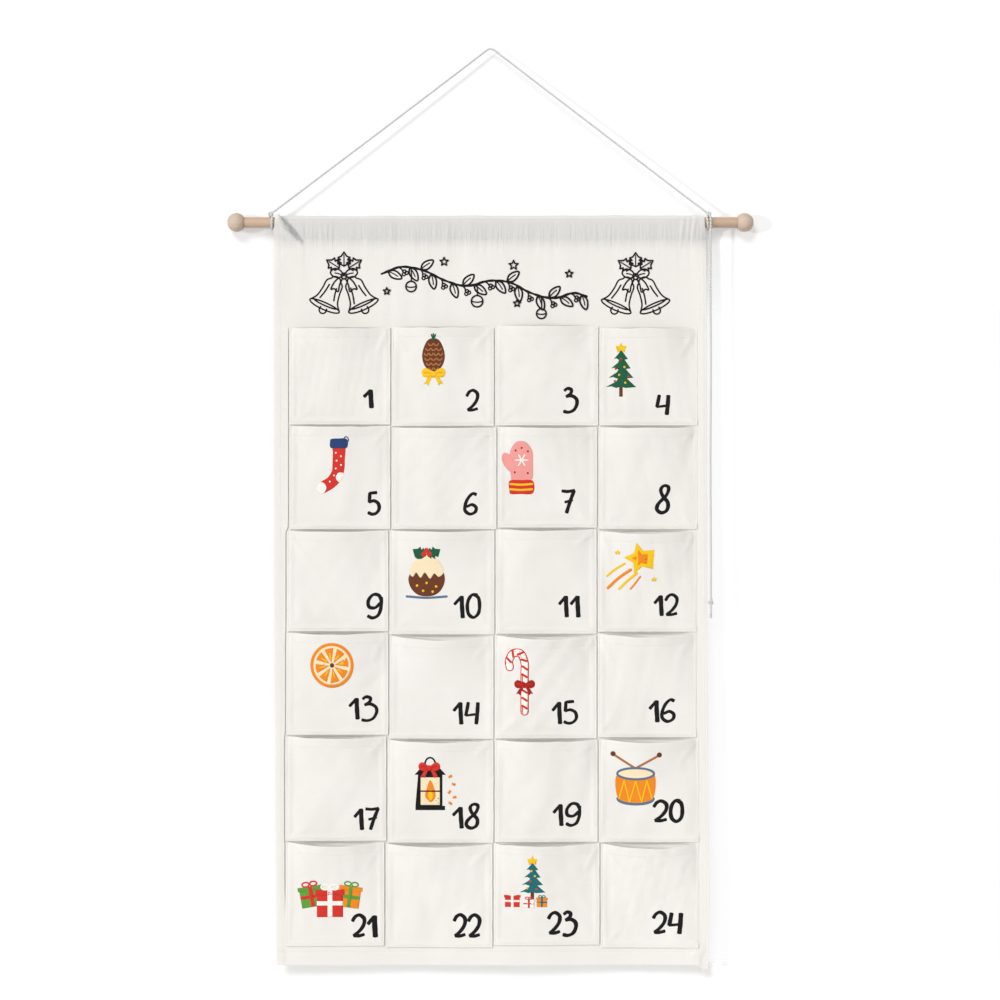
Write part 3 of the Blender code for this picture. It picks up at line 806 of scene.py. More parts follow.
class CALENDAR_OT_panel(bpy.types.Operator):
    """Hangs the canvas panel from the rod, one cloth with its sleeve, flap and hems"""

    bl_idname = "calendar.panel"
    bl_label = "Canvas panel"

    def execute(self, context):
        cloth = context.scene.calendar_cloth
        tops = [(low.x, high.x, high.z) for low, high in (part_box(f"pocket_{number:02d}") for number in range(1, 25))]
        rows = panel_profile([sum(top for _, _, top in tops[first : first + 4]) / 4 for first in range(0, 24, 4)])
        points, weights, edges, pleats, painted_shade = [], [], [], [], []
        low_left, low_right = cloth_edges(STITCH_Z)
        run = np.concatenate([[0.0], np.cumsum(np.linalg.norm(np.diff(rows[:, :2], axis=0), axis=1))])
        uvs = []
        for (y, z, out_y, out_z, flap, ease), down in zip(rows, run):
            upper = held((ROD_Z - z) / (ROD_Z - STITCH_Z))
            left, right = cloth_edges(min(z, STITCH_Z))
            line = np.interp(min(z, STITCH_Z), LINE_HEIGHTS, LINE_PLACES) - left
            if z > STITCH_Z:
                left = -SLEEVE_REACH[0] + (low_left + SLEEVE_REACH[0]) * upper
                right = SLEEVE_REACH[1] + (low_right - SLEEVE_REACH[1]) * upper
            from_left, from_right, middle = panel_columns(line)
            middle = left + NEAR_WIDTH + middle * (right - left - 2 * NEAR_WIDTH)
            x = np.concatenate([left + from_left, middle, right - from_right[::-1]])
            at = np.full_like(x, z)
            edge = np.minimum(x - left, right - x)
            hemmed = edge < SIDE_HEM
            bottom = z - BOTTOM_Z if out_y == -1.0 else 1.0
            tail = down if flap == 1.0 else 1.0
            off = relief(x, at) * (1.0 - 0.7 * flap) + 2 * cloth.layer * flap * hemmed
            off = off + folds(x, at) * held((0.3 - out_y) / 0.9)
            if z > ROD_Z - SLEEVE_RADIUS:
                inner = context.scene.calendar_wood.dowel_radius + DOWEL_CLEARANCE
                off = np.maximum(off, inner + np.where(hemmed, 2.0, 1.0) * cloth.layer - SLEEVE_RADIUS)
            off = off - rounded_edge(np.minimum(edge, min(bottom, tail)))
            depth = 0.0
            if out_y == -1.0:
                near = [place for place in tops if abs(place[2] - z) < MOUTH_REACH]
                depth = hang_depth(x, at) + mouth_hollow(x, z, near)
            depth = depth + ease * np.exp(-((edge / 0.005) ** 2))
            corner = held((0.0100 - (right - x)) / 0.0030) * held(1.0 - (z - BOTTOM_Z) / 0.022)
            depth = depth + 0.0016 * corner
            points.append(np.stack([x, y + depth + out_y * off, z + out_z * off - CORNER_DROP * corner], axis=1))
            weights.append(np.where(hemmed | (bottom < BOTTOM_HEM), 1.0, 0.5))
            edges.append(np.exp(-np.minimum(edge, min(bottom, tail)) / 0.0012))
            below = STITCH_Z - z
            spread = 0.012 if below < -0.006 else 0.016
            pleats.append(np.full_like(x, (1.0 - flap) * math.exp(-((below + 0.006) / spread) ** 2)))
            # Painted shade: the sleeve over the rod is darkened in its colour, least at its top, which faces the
            # light, and fading out within about 13 mm below the stitched line. The core of the top-left fold is
            # darkened fully, as its shadow.
            fade = held((0.013 - below) / 0.017)
            over = np.interp(out_z, (-0.1, 0.3, 0.42, 0.65), (0.34, 0.42, 0.42, 0.05)) * eased(fade)
            fold = crease(x, at, (-0.2503, -0.1829), (-0.2153, -0.2224), 0.0019, 1.0)
            painted_shade.append(over + (1.0 - over) * held(1.2 * fold))
            uvs.append(np.stack([x, np.full_like(x, down)], axis=1))
        count = len(points[0])
        weave = (cloth.thread_spacing, cloth.slub_width)
        canvas = material_named("Cotton_canvas_unbleached", canvas_material, cloth.panel_colour, *weave)
        obj = new_piece(
            "canvas_panel", np.vstack(points), grid_faces(len(points), count)[:, ::-1], [canvas], np.vstack(uvs)
        )
        mark_points(obj, "pleats", np.concatenate(pleats))
        mark_points(obj, "painted_shade", np.concatenate(painted_shade))
        thick_cloth(obj, np.concatenate(weights), np.concatenate(edges), 2 * cloth.layer)
        dress(obj, "cloth", "canvas", "back_panel", "rod_sleeve")
        return {"FINISHED"}


# ---------------------------------------------------------------- pockets


def pocket_shape(number):
    """A pocket's left, right, bottom and top, how far its mouth stands out and how far it droops, from its node."""
    name = f"pocket_{number:02d}"
    low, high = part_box(name)
    middle = (low.x + high.x) / 2
    points = np.array([vertex.co[:] for vertex in frame["nodes"][name].data.vertices])
    off = np.abs(points[:, 0] - middle)
    mouth = float(points[off < off.min() + 0.002, 2].max())
    depth = float(hang_depth(middle, mouth)) - 0.0021 - low.y
    return low.x - POCKET_SPREAD, high.x + POCKET_SPREAD, low.z - 0.0015, high.z, depth, high.z - mouth


POCKET_HEM_ROWS = np.array((
    0.0122, 0.0112, 0.0105, 0.0098, 0.0084, 0.0062, 0.0042, 0.0024, 0.0012, 0.0007, 0.00022, 0.0,
))


def pocket_stations(width, height):
    """Columns and rows of a pocket's grid, as distances from its left and its bottom edge."""
    near = np.concatenate([EDGE_STEPS[:3], (0.0014, 0.0021, 0.0028, 0.0040, 0.0055, 0.0075)])
    middle = np.linspace(near[-1], width - near[-1], int((width - 2 * near[-1]) / 0.0022) + 1)[1:-1]
    columns = np.concatenate([near, middle, width - near[::-1]])
    hem = height - POCKET_HEM_ROWS
    rise = np.linspace(near[-1], hem[0], int((hem[0] - near[-1]) / 0.0023) + 1)[1:-1]
    return columns, np.concatenate([near, rise, hem])


def pocket_front(number, x, z, across, up, edge, seamed, left, right, bottom, top, depth):
    """Depth of a pocket's front face: its fullness, the pull of its seams, and folds that run in from its corners."""
    draw = np.random.default_rng(100 + number)
    inside = held((across - 0.03) / 0.94)
    height = held((up - 0.03) / 0.97)
    full = 0.86 * np.sin(math.pi * inside) ** 0.85 * (0.30 * height**0.8 + 0.70 * height**3.2)
    window = held(edge / 0.012)
    soft = 0.0007 * window * ripples(x, z, 200 + number, 0.055, 0.07)
    soft += 0.00025 * window * ripples(x, z, 300 + number, 0.02, 0.024)
    soft += 0.00016 * np.exp(-edge / 0.004) * ripples(x, z, 400 + number, 0.0075, 0.0075, 12)
    ridge = held((0.0088 - seamed) / 0.0044)
    soft += 0.0009 * eased(ridge)
    soft -= groove(edge - POCKET_SEAM, 0.0006, 0.00022)
    soft -= groove((1 - up) * (top - bottom) - POCKET_HEM_STITCH, 0.0007, 0.00010)
    for side, corner in ((1, left), (-1, right)):
        reach, fall = draw.uniform(0.014, 0.03), draw.uniform(0.018, 0.036)
        start = (corner + side * 0.0035, top - 0.003)
        soft += crease(x, z, start, (corner + side * reach, top - fall), 0.0032, draw.uniform(0.0003, 0.0010))
        start = (corner + side * 0.003, bottom + 0.003)
        soft += crease(x, z, start, (corner + side * reach, bottom + fall * 0.8), 0.0030, draw.uniform(0.0002, 0.0008))
    rise = 0.0011
    if number % 4 == 0:
        rise = rise - 0.0007 * held((0.022 - (1 - across) * (right - left)) / 0.018)
    surface = cloth_front(x, z) - LAYER_GAP - rise
    return np.minimum(surface - depth * full - soft, surface) + rounded_edge(edge)


class CALENDAR_OT_pockets(bpy.types.Operator):
    """Sews on the twenty-four patch pockets, each open at its mouth"""

    bl_idname = "calendar.pockets"
    bl_label = "Patch pockets"

    def execute(self, context):
        cloth = context.scene.calendar_cloth
        weave = (cloth.thread_spacing, cloth.slub_width)
        canvas = material_named("Cotton_canvas_pocket", canvas_material, cloth.pocket_colour, *weave)
        for number in range(1, 25):
            left, right, bottom, top, depth, droop = pocket_shape(number)
            width, height = right - left, top - bottom
            columns, rows = pocket_stations(width, height)
            run_x, run_z = np.meshgrid(columns, rows)
            across, up = run_x / width, run_z / height
            pulled = 0.0007 * np.exp(-(height - run_z) / 0.0035) + 0.0004 * np.exp(-run_z / 0.003)
            pulled += 0.00012 * ripples(run_z, run_x * 0, 600 + number, 0.014, 1.0)
            x = left + run_x + pulled * np.cos(math.pi * across) ** 3
            sag = droop * np.sin(math.pi * across) * up**2
            z = bottom + run_z - sag + 0.0003 * up**4 * ripples(x, run_z * 0, 500 + number, 0.02, 1.0)
            edge = np.minimum(np.minimum(run_x, width - run_x), run_z)
            rim = np.minimum(edge, height - run_z)
            seamed = np.minimum(run_x, run_z) if number % 4 == 0 else edge
            y = pocket_front(number, x, z, across, up, edge, seamed, left, right, bottom, top, depth)
            y = y + rounded_edge(height - run_z)
            points = np.stack([x.ravel(), y.ravel(), z.ravel()], axis=1)
            uvs = np.stack([x.ravel() + 0.07 * number, (run_z + 0.031 * number).ravel()], axis=1)
            doubled = (seamed < POCKET_ALLOWANCE) | (height - run_z < POCKET_HEM)
            obj = new_piece(f"pocket_cloth_{number:02d}", points, grid_faces(len(rows), len(columns)), [canvas], uvs)
            layers = np.where(doubled, 1.0, 0.5)
            if number % 4 == 0:
                layers = np.where(width - run_x < 0.0060, 0.3, layers)
            thick_cloth(obj, layers.ravel(), np.exp(-rim / 0.0012).ravel(), 2 * cloth.layer)
            dress(obj, "cloth", "pocket_canvas", f"pocket_{number:02d}")
        return {"FINISHED"}


# ---------------------------------------------------------------- cord


def twisted_pair(line, diameter, lay, frames=None, looped=False, sides=7):
    """Two strands twisted round a line, as points, faces and a map along each strand."""
    side_a, side_b = frames or carried_frames(line)
    run = np.concatenate([[0.0], np.cumsum(np.linalg.norm(np.diff(line, axis=0), axis=1))])
    whole = run[-1] + (np.linalg.norm(line[0] - line[-1]) if looped else 0.0)
    turns = max(round(whole / lay), 1) if looped else whole / lay
    strand, offset = diameter * 0.285, diameter * 0.215
    parts, uvs = [], []
    for phase in (0.0, math.pi):
        angle = phase + 2 * math.pi * turns * run / whole
        centre = line + offset * (np.cos(angle)[:, None] * side_a + np.sin(angle)[:, None] * side_b)
        rings = []
        for side in range(sides):
            turn = angle + 2 * math.pi * side / sides
            rings.append(centre + strand * (np.cos(turn)[:, None] * side_a + np.sin(turn)[:, None] * side_b))
        rings = np.stack(rings, axis=1)
        parts.append(tube(rings, looped))
        around = np.broadcast_to(np.abs(np.arange(sides) / sides * 2 - 1), (len(line), sides))
        uvs.append(np.stack([around.ravel(), np.repeat(run + phase, sides)], axis=1))
    points, faces = joined(parts)
    return points, faces, np.vstack(uvs)


def loop_line(side):
    """The cord's turn round the dowel, from the knot to the knot."""
    near = math.acos((0.0093**2 + 0.0104**2 - (0.0039**2 - 0.0017**2)) / (2 * 0.0093 * 0.0104))
    shares = np.linspace(0.0, 1.0, 25)
    angles = LOOP_START + near + (2 * math.pi - 2 * near) * shares
    return np.stack(
        [
            side * (LOOP_INNER[side] + LOOP_SHIFT * shares),
            LOOP_RADIUS * np.cos(angles),
            LOOP_RADIUS * np.sin(angles) + ROD_Z,
        ],
        axis=1,
    )


def cord_line():
    """The whole cord: round the dowel at the left, over the nail, round it at the right and down its loose end."""
    left, right = KNOT_CENTRES["cord_knot_left"], KNOT_CENTRES["cord_knot_right"]
    legs = [[left], loop_line(-1), [left], SPAN_ROUTE, [right], loop_line(1), [right], TAIL_ROUTE]
    return smooth_line(np.vstack(legs), 0.0009)


def knot_parts(centre, cord, size, turn):
    """An overhand knot pulled tight, its twisted cord looped three times through itself."""
    t = np.linspace(0.0, 2 * math.pi, 120, endpoint=False)
    flat = np.stack([np.sin(t) + 2 * np.sin(2 * t), np.cos(t) - 2 * np.cos(2 * t), -np.sin(3 * t) * 1.45], axis=1)
    flat *= size / 6.0
    tangents = np.roll(flat, -1, axis=0) - np.roll(flat, 1, axis=0)
    tangents /= np.linalg.norm(tangents, axis=1, keepdims=True)
    outer = flat - tangents * (flat * tangents).sum(axis=1, keepdims=True)
    outer /= np.linalg.norm(outer, axis=1, keepdims=True)
    frames = (outer, np.cross(tangents, outer))
    points, faces, uvs = twisted_pair(flat, cord.diameter * 0.78, cord.lay * 0.8, frames, looped=True, sides=6)
    c, s = math.cos(turn), math.sin(turn)
    spun = np.array(((c, 0.0, -s), (0.0, 1.0, 0.0), (s, 0.0, c)))
    upright = points[:, (0, 2, 1)] @ spun.T
    return upright + np.array(centre), faces, uvs


class CALENDAR_OT_cord(bpy.types.Operator):
    """Ties the twisted cord to the rod's ends and lays it over the nail, with its knots and its loose end"""

    bl_idname = "calendar.cord"
    bl_label = "Hanging cord"

    def execute(self, context):
        cord = context.scene.calendar_cord
        cotton = material_named("Cotton_cord_bleached", cord_material, cord.tint)
        line = cord_line()
        points, faces, uvs = twisted_pair(line, cord.diameter, cord.lay)
        rope = new_piece("twisted_cord", points, faces, [cotton], uvs)
        outward(rope)
        stretches = ("cord_span", "cord_loop_left", "cord_loop_right", "cord_tail", "cord_tail_tip")
        dress(rope, "cord", "cotton_cord", *stretches)
        for index, (node, centre) in enumerate(KNOT_CENTRES.items()):
            size = 0.0050 if index < 2 else 0.0052
            points, faces, uvs = knot_parts(centre, cord, size, 0.6 + 1.1 * index)
            knot = new_piece("tied_" + node, points, faces, [cotton], uvs)
            outward(knot)
            dress(knot, "cord", "cotton_cord", node)
        draw = np.random.default_rng(21)
        fibres, start = [], line[-1]
        for _ in range(34):
            lean = draw.normal(0, 0.0011, 2)
            length = draw.uniform(0.0030, 0.0056)
            t = np.linspace(0.0, 1.0, 6)
            spread = draw.normal(0, 0.0006, 2)
            sides = [start[axis] + spread[axis] + lean[axis] * t**1.5 for axis in (0, 1)]
            path = np.stack([*sides, start[2] + 0.001 - length * t], axis=1)
            side_a, side_b = carried_frames(path)
            angles = [2 * math.pi * side / 4 for side in range(4)]
            rings = np.stack([path + 0.00013 * (math.cos(a) * side_a + math.sin(a) * side_b) for a in angles], axis=1)
            fibres.append(tube(rings))
        points, faces = joined(fibres)
        fray = new_piece("cord_frayed_end", points, faces, [cotton], points[:, (0, 2)])
        outward(fray)
        dress(fray, "cord", "cotton_cord")
        return {"FINISHED"}


# ---------------------------------------------------------------- rod and balls


def edit(obj):
    """Opens a piece in edit mode, by faces, with nothing selected."""
    only(obj)
    bpy.ops.object.mode_set(mode="EDIT")
    bpy.ops.mesh.select_mode(type="FACE")
    bpy.ops.mesh.select_all(action="DESELECT")


def pick_faces(obj, test):
    """Selects the faces whose centre and normal pass a test."""
    shape = bmesh.from_edit_mesh(obj.data)
    for face in shape.faces:
        face.select = test(face.calc_center_median(), face.normal)
    bmesh.update_edit_mesh(obj.data)


def settle(obj, name, angle=30.0):
    """Leaves edit mode, puts the piece's place in its mesh and smooths it."""
    bpy.ops.object.mode_set(mode="OBJECT")
    bpy.ops.object.transform_apply(location=True, rotation=True, scale=True)
    bpy.ops.object.shade_smooth_by_angle(angle=math.radians(angle))
    obj.name = name
    obj.data.name = name


class CALENDAR_OT_rod(bpy.types.Operator):
    """Turns the wooden dowel and the two balls pushed onto its ends"""

    bl_idname = "calendar.rod"
    bl_label = "Dowel and balls"

    def execute(self, context):
        wood = context.scene.calendar_wood
        timber = material_named("Hardwood_dowel", wood_material, wood.dowel_light, wood.dowel_dark)
        pale = material_named("Hardwood_turned_ball", wood_material, wood.ball_light, wood.ball_dark)
        bpy.ops.object.select_all(action="DESELECT")
        bpy.ops.mesh.primitive_cylinder_add(
            vertices=48, radius=wood.dowel_radius, depth=wood.dowel_length, location=(0.0, 0.0, ROD_Z),
            rotation=(0.0, math.pi / 2, 0.0),
        )
        dowel = bpy.context.object
        edit(dowel)
        pick_faces(dowel, lambda centre, normal: abs(normal.z) > 0.9)
        bpy.ops.mesh.bevel(offset=0.0007, segments=3, affect="EDGES")
        settle(dowel, "turned_dowel")
        dowel.data.materials.append(timber)
        dress(dowel, "rod", "beech", "dowel")
        for side, node in ((-1, "finial_left"), (1, "finial_right")):
            bpy.ops.object.select_all(action="DESELECT")
            bpy.ops.mesh.primitive_uv_sphere_add(
                segments=48, ring_count=32, radius=wood.ball_radius, location=(side * wood.ball_offset, 0.0, ROD_Z),
                rotation=(0.0, side * math.pi / 2, 0.0),
            )
            ball = bpy.context.object
            edit(ball)
            seat = -math.sqrt(wood.ball_radius**2 - (wood.dowel_radius + 0.0012) ** 2)
            bpy.ops.mesh.select_all(action="SELECT")
            bpy.ops.mesh.bisect(
                plane_co=ball.matrix_world @ Vector((0.0, 0.0, seat)), plane_no=(side, 0.0, 0.0),
                use_fill=True, clear_inner=True,
            )
            bpy.ops.mesh.select_all(action="DESELECT")
            bpy.ops.mesh.select_mode(type="FACE")
            pick_faces(ball, lambda centre, normal: normal.z < -0.99 and centre.z < seat + 0.0002)
            bpy.ops.mesh.bevel(offset=0.0003, segments=2, affect="EDGES")
            bpy.ops.mesh.select_all(action="DESELECT")
            pick_faces(ball, lambda centre, normal: normal.z < -0.99 and centre.z < seat + 0.0002)
            bpy.ops.mesh.inset(thickness=0.0005)
            bpy.ops.mesh.extrude_region_move(TRANSFORM_OT_translate={"value": (side * 0.0022, 0.0, 0.0)})
            bpy.ops.mesh.select_all(action="DESELECT")
            pick_faces(ball, lambda centre, normal: centre.z > wood.ball_radius * 0.985)
            bpy.ops.transform.translate(value=(-side * 0.0002, 0.0, 0.0))
            settle(ball, "turned_ball_left" if side < 0 else "turned_ball_right", 40.0)
            ball.data.materials.append(pale)
            dress(ball, "rod", "beech", node)
        return {"FINISHED"}


# ---------------------------------------------------------------- stitching


def stitch_template():
    """One stitch, a unit long: modelled once, then copied along every seam."""
    bpy.ops.object.select_all(action="DESELECT")
    bpy.ops.mesh.primitive_uv_sphere_add(segments=5, ring_count=4, radius=0.5, rotation=(0.0, math.pi / 2, 0.0))
    obj = bpy.context.object
    bpy.ops.object.transform_apply(location=True, rotation=True, scale=True)
    edit(obj)
    shape = bmesh.from_edit_mesh(obj.data)
    for vert in shape.verts:
        vert.select = 0.01 < abs(vert.co.x) < 0.45
    bmesh.update_edit_mesh(obj.data)
    bpy.ops.mesh.select_mode(type="VERT")
    bpy.ops.transform.resize(value=(1.12, 1.2, 1.2), center_override=(0.0, 0.0, 0.0))
    bpy.ops.object.mode_set(mode="OBJECT")
    points = np.array([vertex.co[:] for vertex in obj.data.vertices])
    faces = [tuple(face.vertices) for face in obj.data.polygons]
    bpy.data.objects.remove(obj)
    return points, faces


def stitch_line(template, tree, start, end, cloth, side=-1):
    """Copies of the stitch laid on a surface from start to end, given as x and z."""
    points, _ = template
    step = cloth.stitch_length + cloth.stitch_gap
    whole = math.hypot(end[0] - start[0], end[1] - start[1])
    count = int((whole + cloth.stitch_gap) / step)
    slack = (whole - count * step + cloth.stitch_gap) / 2
    copies = []
    for index in range(count):
        ends = []
        for run in (slack + index * step, slack + index * step + cloth.stitch_length):
            x, z = (low + (high - low) * run / whole for low, high in zip(start, end))
            ends.append(surface_at(tree, x, z, side))
        if ends[0][0] is None or ends[1][0] is None:
            continue
        first, last = np.array(ends[0][0]), np.array(ends[1][0])
        along = last - first
        if np.linalg.norm(along) > 2 * cloth.stitch_length:
            continue
        up = np.array(ends[0][1])
        up = up * (1.0 if up[1] * side > 0 else -1.0)
        across = np.cross(up, along)
        across /= np.linalg.norm(across)
        up = np.cross(along, across)
        up /= np.linalg.norm(up)
        thread = cloth.thread_width
        middle = (first + last) / 2 + up * thread * 0.18
        copies.append(
            middle + points[:, :1] * along + points[:, 1:2] * across * thread + points[:, 2:3] * up * thread * 0.8
        )
    return copies


def stitched_piece(name, template, copies, material, slot):
    """One piece from many laid stitches."""
    points, faces = template
    size = len(points)
    everything = np.vstack(copies)
    all_faces = [tuple(i + size * n for i in face) for n in range(len(copies)) for face in faces]
    dress(new_piece(name, everything, all_faces, [material]), "cloth", slot)


def pocket_seams(number):
    """A pocket's seam corners and its mouth's stitched line, as x and z."""
    left, right, bottom, top, _, droop = pocket_shape(number)
    left, right, bottom, head = left + POCKET_SEAM, right - POCKET_SEAM, bottom + POCKET_SEAM, top - 0.0012
    seam = [(left, head), (left, bottom), (right, bottom), (right, head)]
    shares = np.linspace(0.0, 1.0, 13)
    across = left + 0.001 + (right - left - 0.002) * shares
    down = top - POCKET_HEM_STITCH - 0.82 * droop * np.sin(math.pi * shares)
    return seam, list(zip(across, down))


class CALENDAR_OT_stitching(bpy.types.Operator):
    """Sews the hems, the sleeve and the pockets with lockstitch, in front and behind"""

    bl_idname = "calendar.stitching"
    bl_label = "Stitching"

    def execute(self, context):
        cloth = context.scene.calendar_cloth
        thread = material_named("Cotton_sewing_thread", thread_material, cloth.thread_colour)
        template = stitch_template()
        panel = tree_of(bpy.data.objects["canvas_panel"])
        seams, hems, behind = [], [], []
        for number in range(1, 25):
            pocket = tree_of(bpy.data.objects[f"pocket_cloth_{number:02d}"])
            seam, hem = pocket_seams(number)
            for start, end in zip(seam, seam[1:]):
                seams += stitch_line(template, pocket, start, end, cloth)
                behind += stitch_line(template, panel, start, end, cloth, side=1)
            for start, end in zip(hem, hem[1:]):
                hems += stitch_line(template, pocket, start, end, cloth)
        edges = []
        marks = np.linspace(STITCH_Z - 0.003, BOTTOM_Z + 0.002, 25)
        for high, low in zip(marks, marks[1:]):
            for side in (0, 1):
                inward = SIDE_STITCH if side == 0 else -SIDE_STITCH
                start = (cloth_edges(high)[side] + inward, high)
                end = (cloth_edges(low)[side] + inward, low)
                edges += stitch_line(template, panel, start, end, cloth)
                behind += stitch_line(template, panel, start, end, cloth, side=1)
        for height in (STITCH_Z - 0.0002, BOTTOM_Z + BOTTOM_STITCH):
            left, right = cloth_edges(height)
            left, right, low = left + 0.002, right - 0.002, height - 0.001
            edges += stitch_line(template, panel, (left, height), (right, height), cloth)
            behind += stitch_line(template, panel, (left, low), (right, low), cloth, side=1)
        stitched_piece("stitching_pocket_seams", template, seams, thread, "pocket_canvas")
        stitched_piece("stitching_pocket_mouths", template, hems, thread, "pocket_canvas")
        stitched_piece("stitching_panel_hems", template, edges, thread, "canvas")
        stitched_piece("stitching_behind", template, behind, thread, "canvas")
        return {"FINISHED"}


# ---------------------------------------------------------------- prints


def oval(x, z, wide, high=None, tilt=0.0, count=26):
    """An ellipse's outline, by its half width and half height in millimetres."""
    high = high or wide
    c, s = math.cos(math.radians(tilt)), math.sin(math.radians(tilt))
    found = []
    for step in range(count):
        a = 2 * math.pi * step / count
        u, v = wide * math.cos(a), high * math.sin(a)
        found.append((x + u * c - v * s, z + u * s + v * c))
    return found


def star(x, z, size, points=5, inner=0.45, turn=0.0):
    """A star's outline, its inner corners at a share of its size."""
    found = []
    for step in range(2 * points):
        reach = size if step % 2 == 0 else size * inner
        a = math.radians(90 + turn) + math.pi * step / points
        found.append((x + reach * math.cos(a), z + reach * math.sin(a)))
    return found


def arc(x, z, wide, high, start, end, count=10):
    """Part of an ellipse, by angles in degrees."""
    angles = [math.radians(start + (end - start) * step / count) for step in range(count + 1)]
    return [(x + wide * math.cos(a), z + high * math.sin(a)) for a in angles]


def moved(points, x=0.0, z=0.0, turn=0.0, scale=1.0, mirror=1):
    """Points mirrored, scaled, turned in degrees and moved."""
    c, s = math.cos(math.radians(turn)), math.sin(math.radians(turn))
    found = []
    for u, v in points:
        u, v = u * scale * mirror, v * scale
        found.append((x + u * c - v * s, z + u * s + v * c))
    return found


def holly(x, z, length, width, turn):
    """A spiky leaf's outline from its stem, as a closed shape."""
    half = [
        (0.0, 0.0), (0.16, 0.34), (0.22, 0.20), (0.38, 0.50), (0.46, 0.28), (0.62, 0.46), (0.70, 0.22),
        (1.0, 0.0),
    ]
    whole = half + [(u, -v) for u, v in half[-2:0:-1]]
    return moved([(u * length, v * width) for u, v in whole], x, z, turn)


def bow(x, z, size, ink, line_ink):
    """A ribbon bow with two loops, two tails and a knot."""
    shapes = []
    for side in (-1, 1):
        tail = [(0.0, 0.0), (0.30, -0.60), (0.52, -1.15), (0.74, -0.92), (0.98, -1.02), (0.66, -0.45), (0.12, 0.02)]
        shapes.append(filled(ink, moved(tail, x, z, 0.0, size, side)))
        loop = [(0.0, 0.0), (0.35, 0.42), (0.85, 0.62), (1.18, 0.30), (1.08, -0.18), (0.62, -0.34), (0.22, -0.16)]
        shapes.append(blob(ink, moved(loop, x, z, 0.0, size, side)))
        crinkle = [(0.28, 0.06), (0.58, 0.16), (0.86, 0.16)]
        shapes.append(drawn(line_ink, moved(crinkle, x, z, 0.0, size, side), size * 0.09))
    shapes.append(filled(ink, oval(x, z, size * 0.26, size * 0.30)))
    shapes.append(drawn(line_ink, arc(x, z, size * 0.26, size * 0.30, 200, 340), size * 0.08))
    return shapes


def soft_outline(points, spacing=1.2):
    """A closed outline smoothed through its points, in millimetres."""
    line = smooth_line([points[-1], *points, points[0]], spacing)
    start = int(round(line_length(np.array([points[-1], points[0]])) / spacing))
    return [tuple(p) for p in line[start:-1]]


NIB_ANGLE = math.radians(25.0)


def filled(ink, points):
    """A filled shape."""
    return ("fill", ink, points)


def blob(ink, points):
    """A filled shape with a soft outline."""
    return filled(ink, soft_outline(points))


def drawn(ink, points, *style):
    """A line with its width, and how uneven and how much like a nib's it is."""
    return ("line", ink, points, *style)


def inked(points, *style):
    """A black line."""
    return drawn("black", points, *style)


def oblong(left, low, right, high):
    """A rectangle's corners."""
    return [(left, low), (right, low), (right, high), (left, high)]


def dots(ink, radius, count, places):
    """Filled circles with so many corners."""
    return [filled(ink, oval(x, z, radius, count=count)) for x, z in places]


def polar(angle, reach, x=0.0, z=0.0):
    """The point that lies at an angle in degrees and a reach from a place."""
    return (x + reach * math.cos(math.radians(angle)), z + reach * math.sin(math.radians(angle)))


def add_line(store, points, width, ink, uneven=0.0, nib=0.0):
    """Lays a stroke into the store, in millimetres, rising a hair along its length.

    A nib makes it blunt-ended, and wider where it runs across the nib than where it runs along it."""
    line = smooth_line(points, min(1.0, width * 0.8))
    directions = np.gradient(line, axis=0)
    directions /= np.maximum(np.linalg.norm(directions, axis=1, keepdims=True), 1e-9)
    half = np.full(len(line), width / 2) * (1 + uneven * np.sin(np.arange(len(line)) * 0.55 + width * 7 + len(line)))
    turned = np.arctan2(directions[:, 1], directions[:, 0]) - NIB_ANGLE
    half *= 1 + nib * (np.abs(np.sin(turned)) - 0.55)
    caps = np.radians((78.0, 52.0, 26.0))
    blunt = 0.45 if nib else 1.0

    def cap(place, sign, angles):
        point, way, wide = line[place], directions[place], half[place]
        return [(point + sign * way * wide * math.sin(a) * blunt, way, wide * math.cos(a)) for a in angles]

    rows = [*cap(0, -1, caps), *zip(line, directions, half), *cap(-1, 1, caps[::-1])]
    level = store["level"]
    start = len(store["points"])
    for index, (centre, direction, reach) in enumerate(rows):
        across = np.array((-direction[1], direction[0]))
        for share in (-1.0, -0.5, 0.0, 0.5, 1.0):
            x, z = centre + across * reach * share
            store["points"].append((x, level + 0.6 * index / len(rows), z))
    for row in range(len(rows) - 1):
        for column in range(4):
            first = start + row * 5 + column
            store["faces"].append((first, first + 5, first + 6, first + 1))
            store["inks"].append(ink)
    store["level"] += 1.0


def add_fill(store, outline, ink, cell=2.6):
    """Lays a filled outline into the store, in millimetres, cut into cells so that it follows the cloth."""
    shape = bmesh.new()
    shape.faces.new([shape.verts.new((x, 0.0, z)) for x, z in outline])
    bmesh.ops.triangulate(shape, faces=shape.faces[:])
    for axis in (0, 2):
        places = [vertex.co[axis] for vertex in shape.verts]
        for step in range(math.ceil(min(places) / cell), math.floor(max(places) / cell) + 1):
            spot, normal = [0.0, 0.0, 0.0], [0.0, 0.0, 0.0]
            spot[axis], normal[axis] = step * cell, 1.0
            geometry = shape.verts[:] + shape.edges[:] + shape.faces[:]
            bmesh.ops.bisect_plane(shape, geom=geometry, plane_co=spot, plane_no=normal, dist=1e-4)
    shape.normal_update()
    start = len(store["points"])
    shape.verts.index_update()
    for vertex in shape.verts:
        store["points"].append((vertex.co.x, store["level"], vertex.co.z))
    for face in shape.faces:
        corners = [start + vertex.index for vertex in face.verts]
        store["faces"].append(tuple(corners if face.normal.y < 0 else corners[::-1]))
        store["inks"].append(ink)
    shape.free()
    store["level"] += 1.0


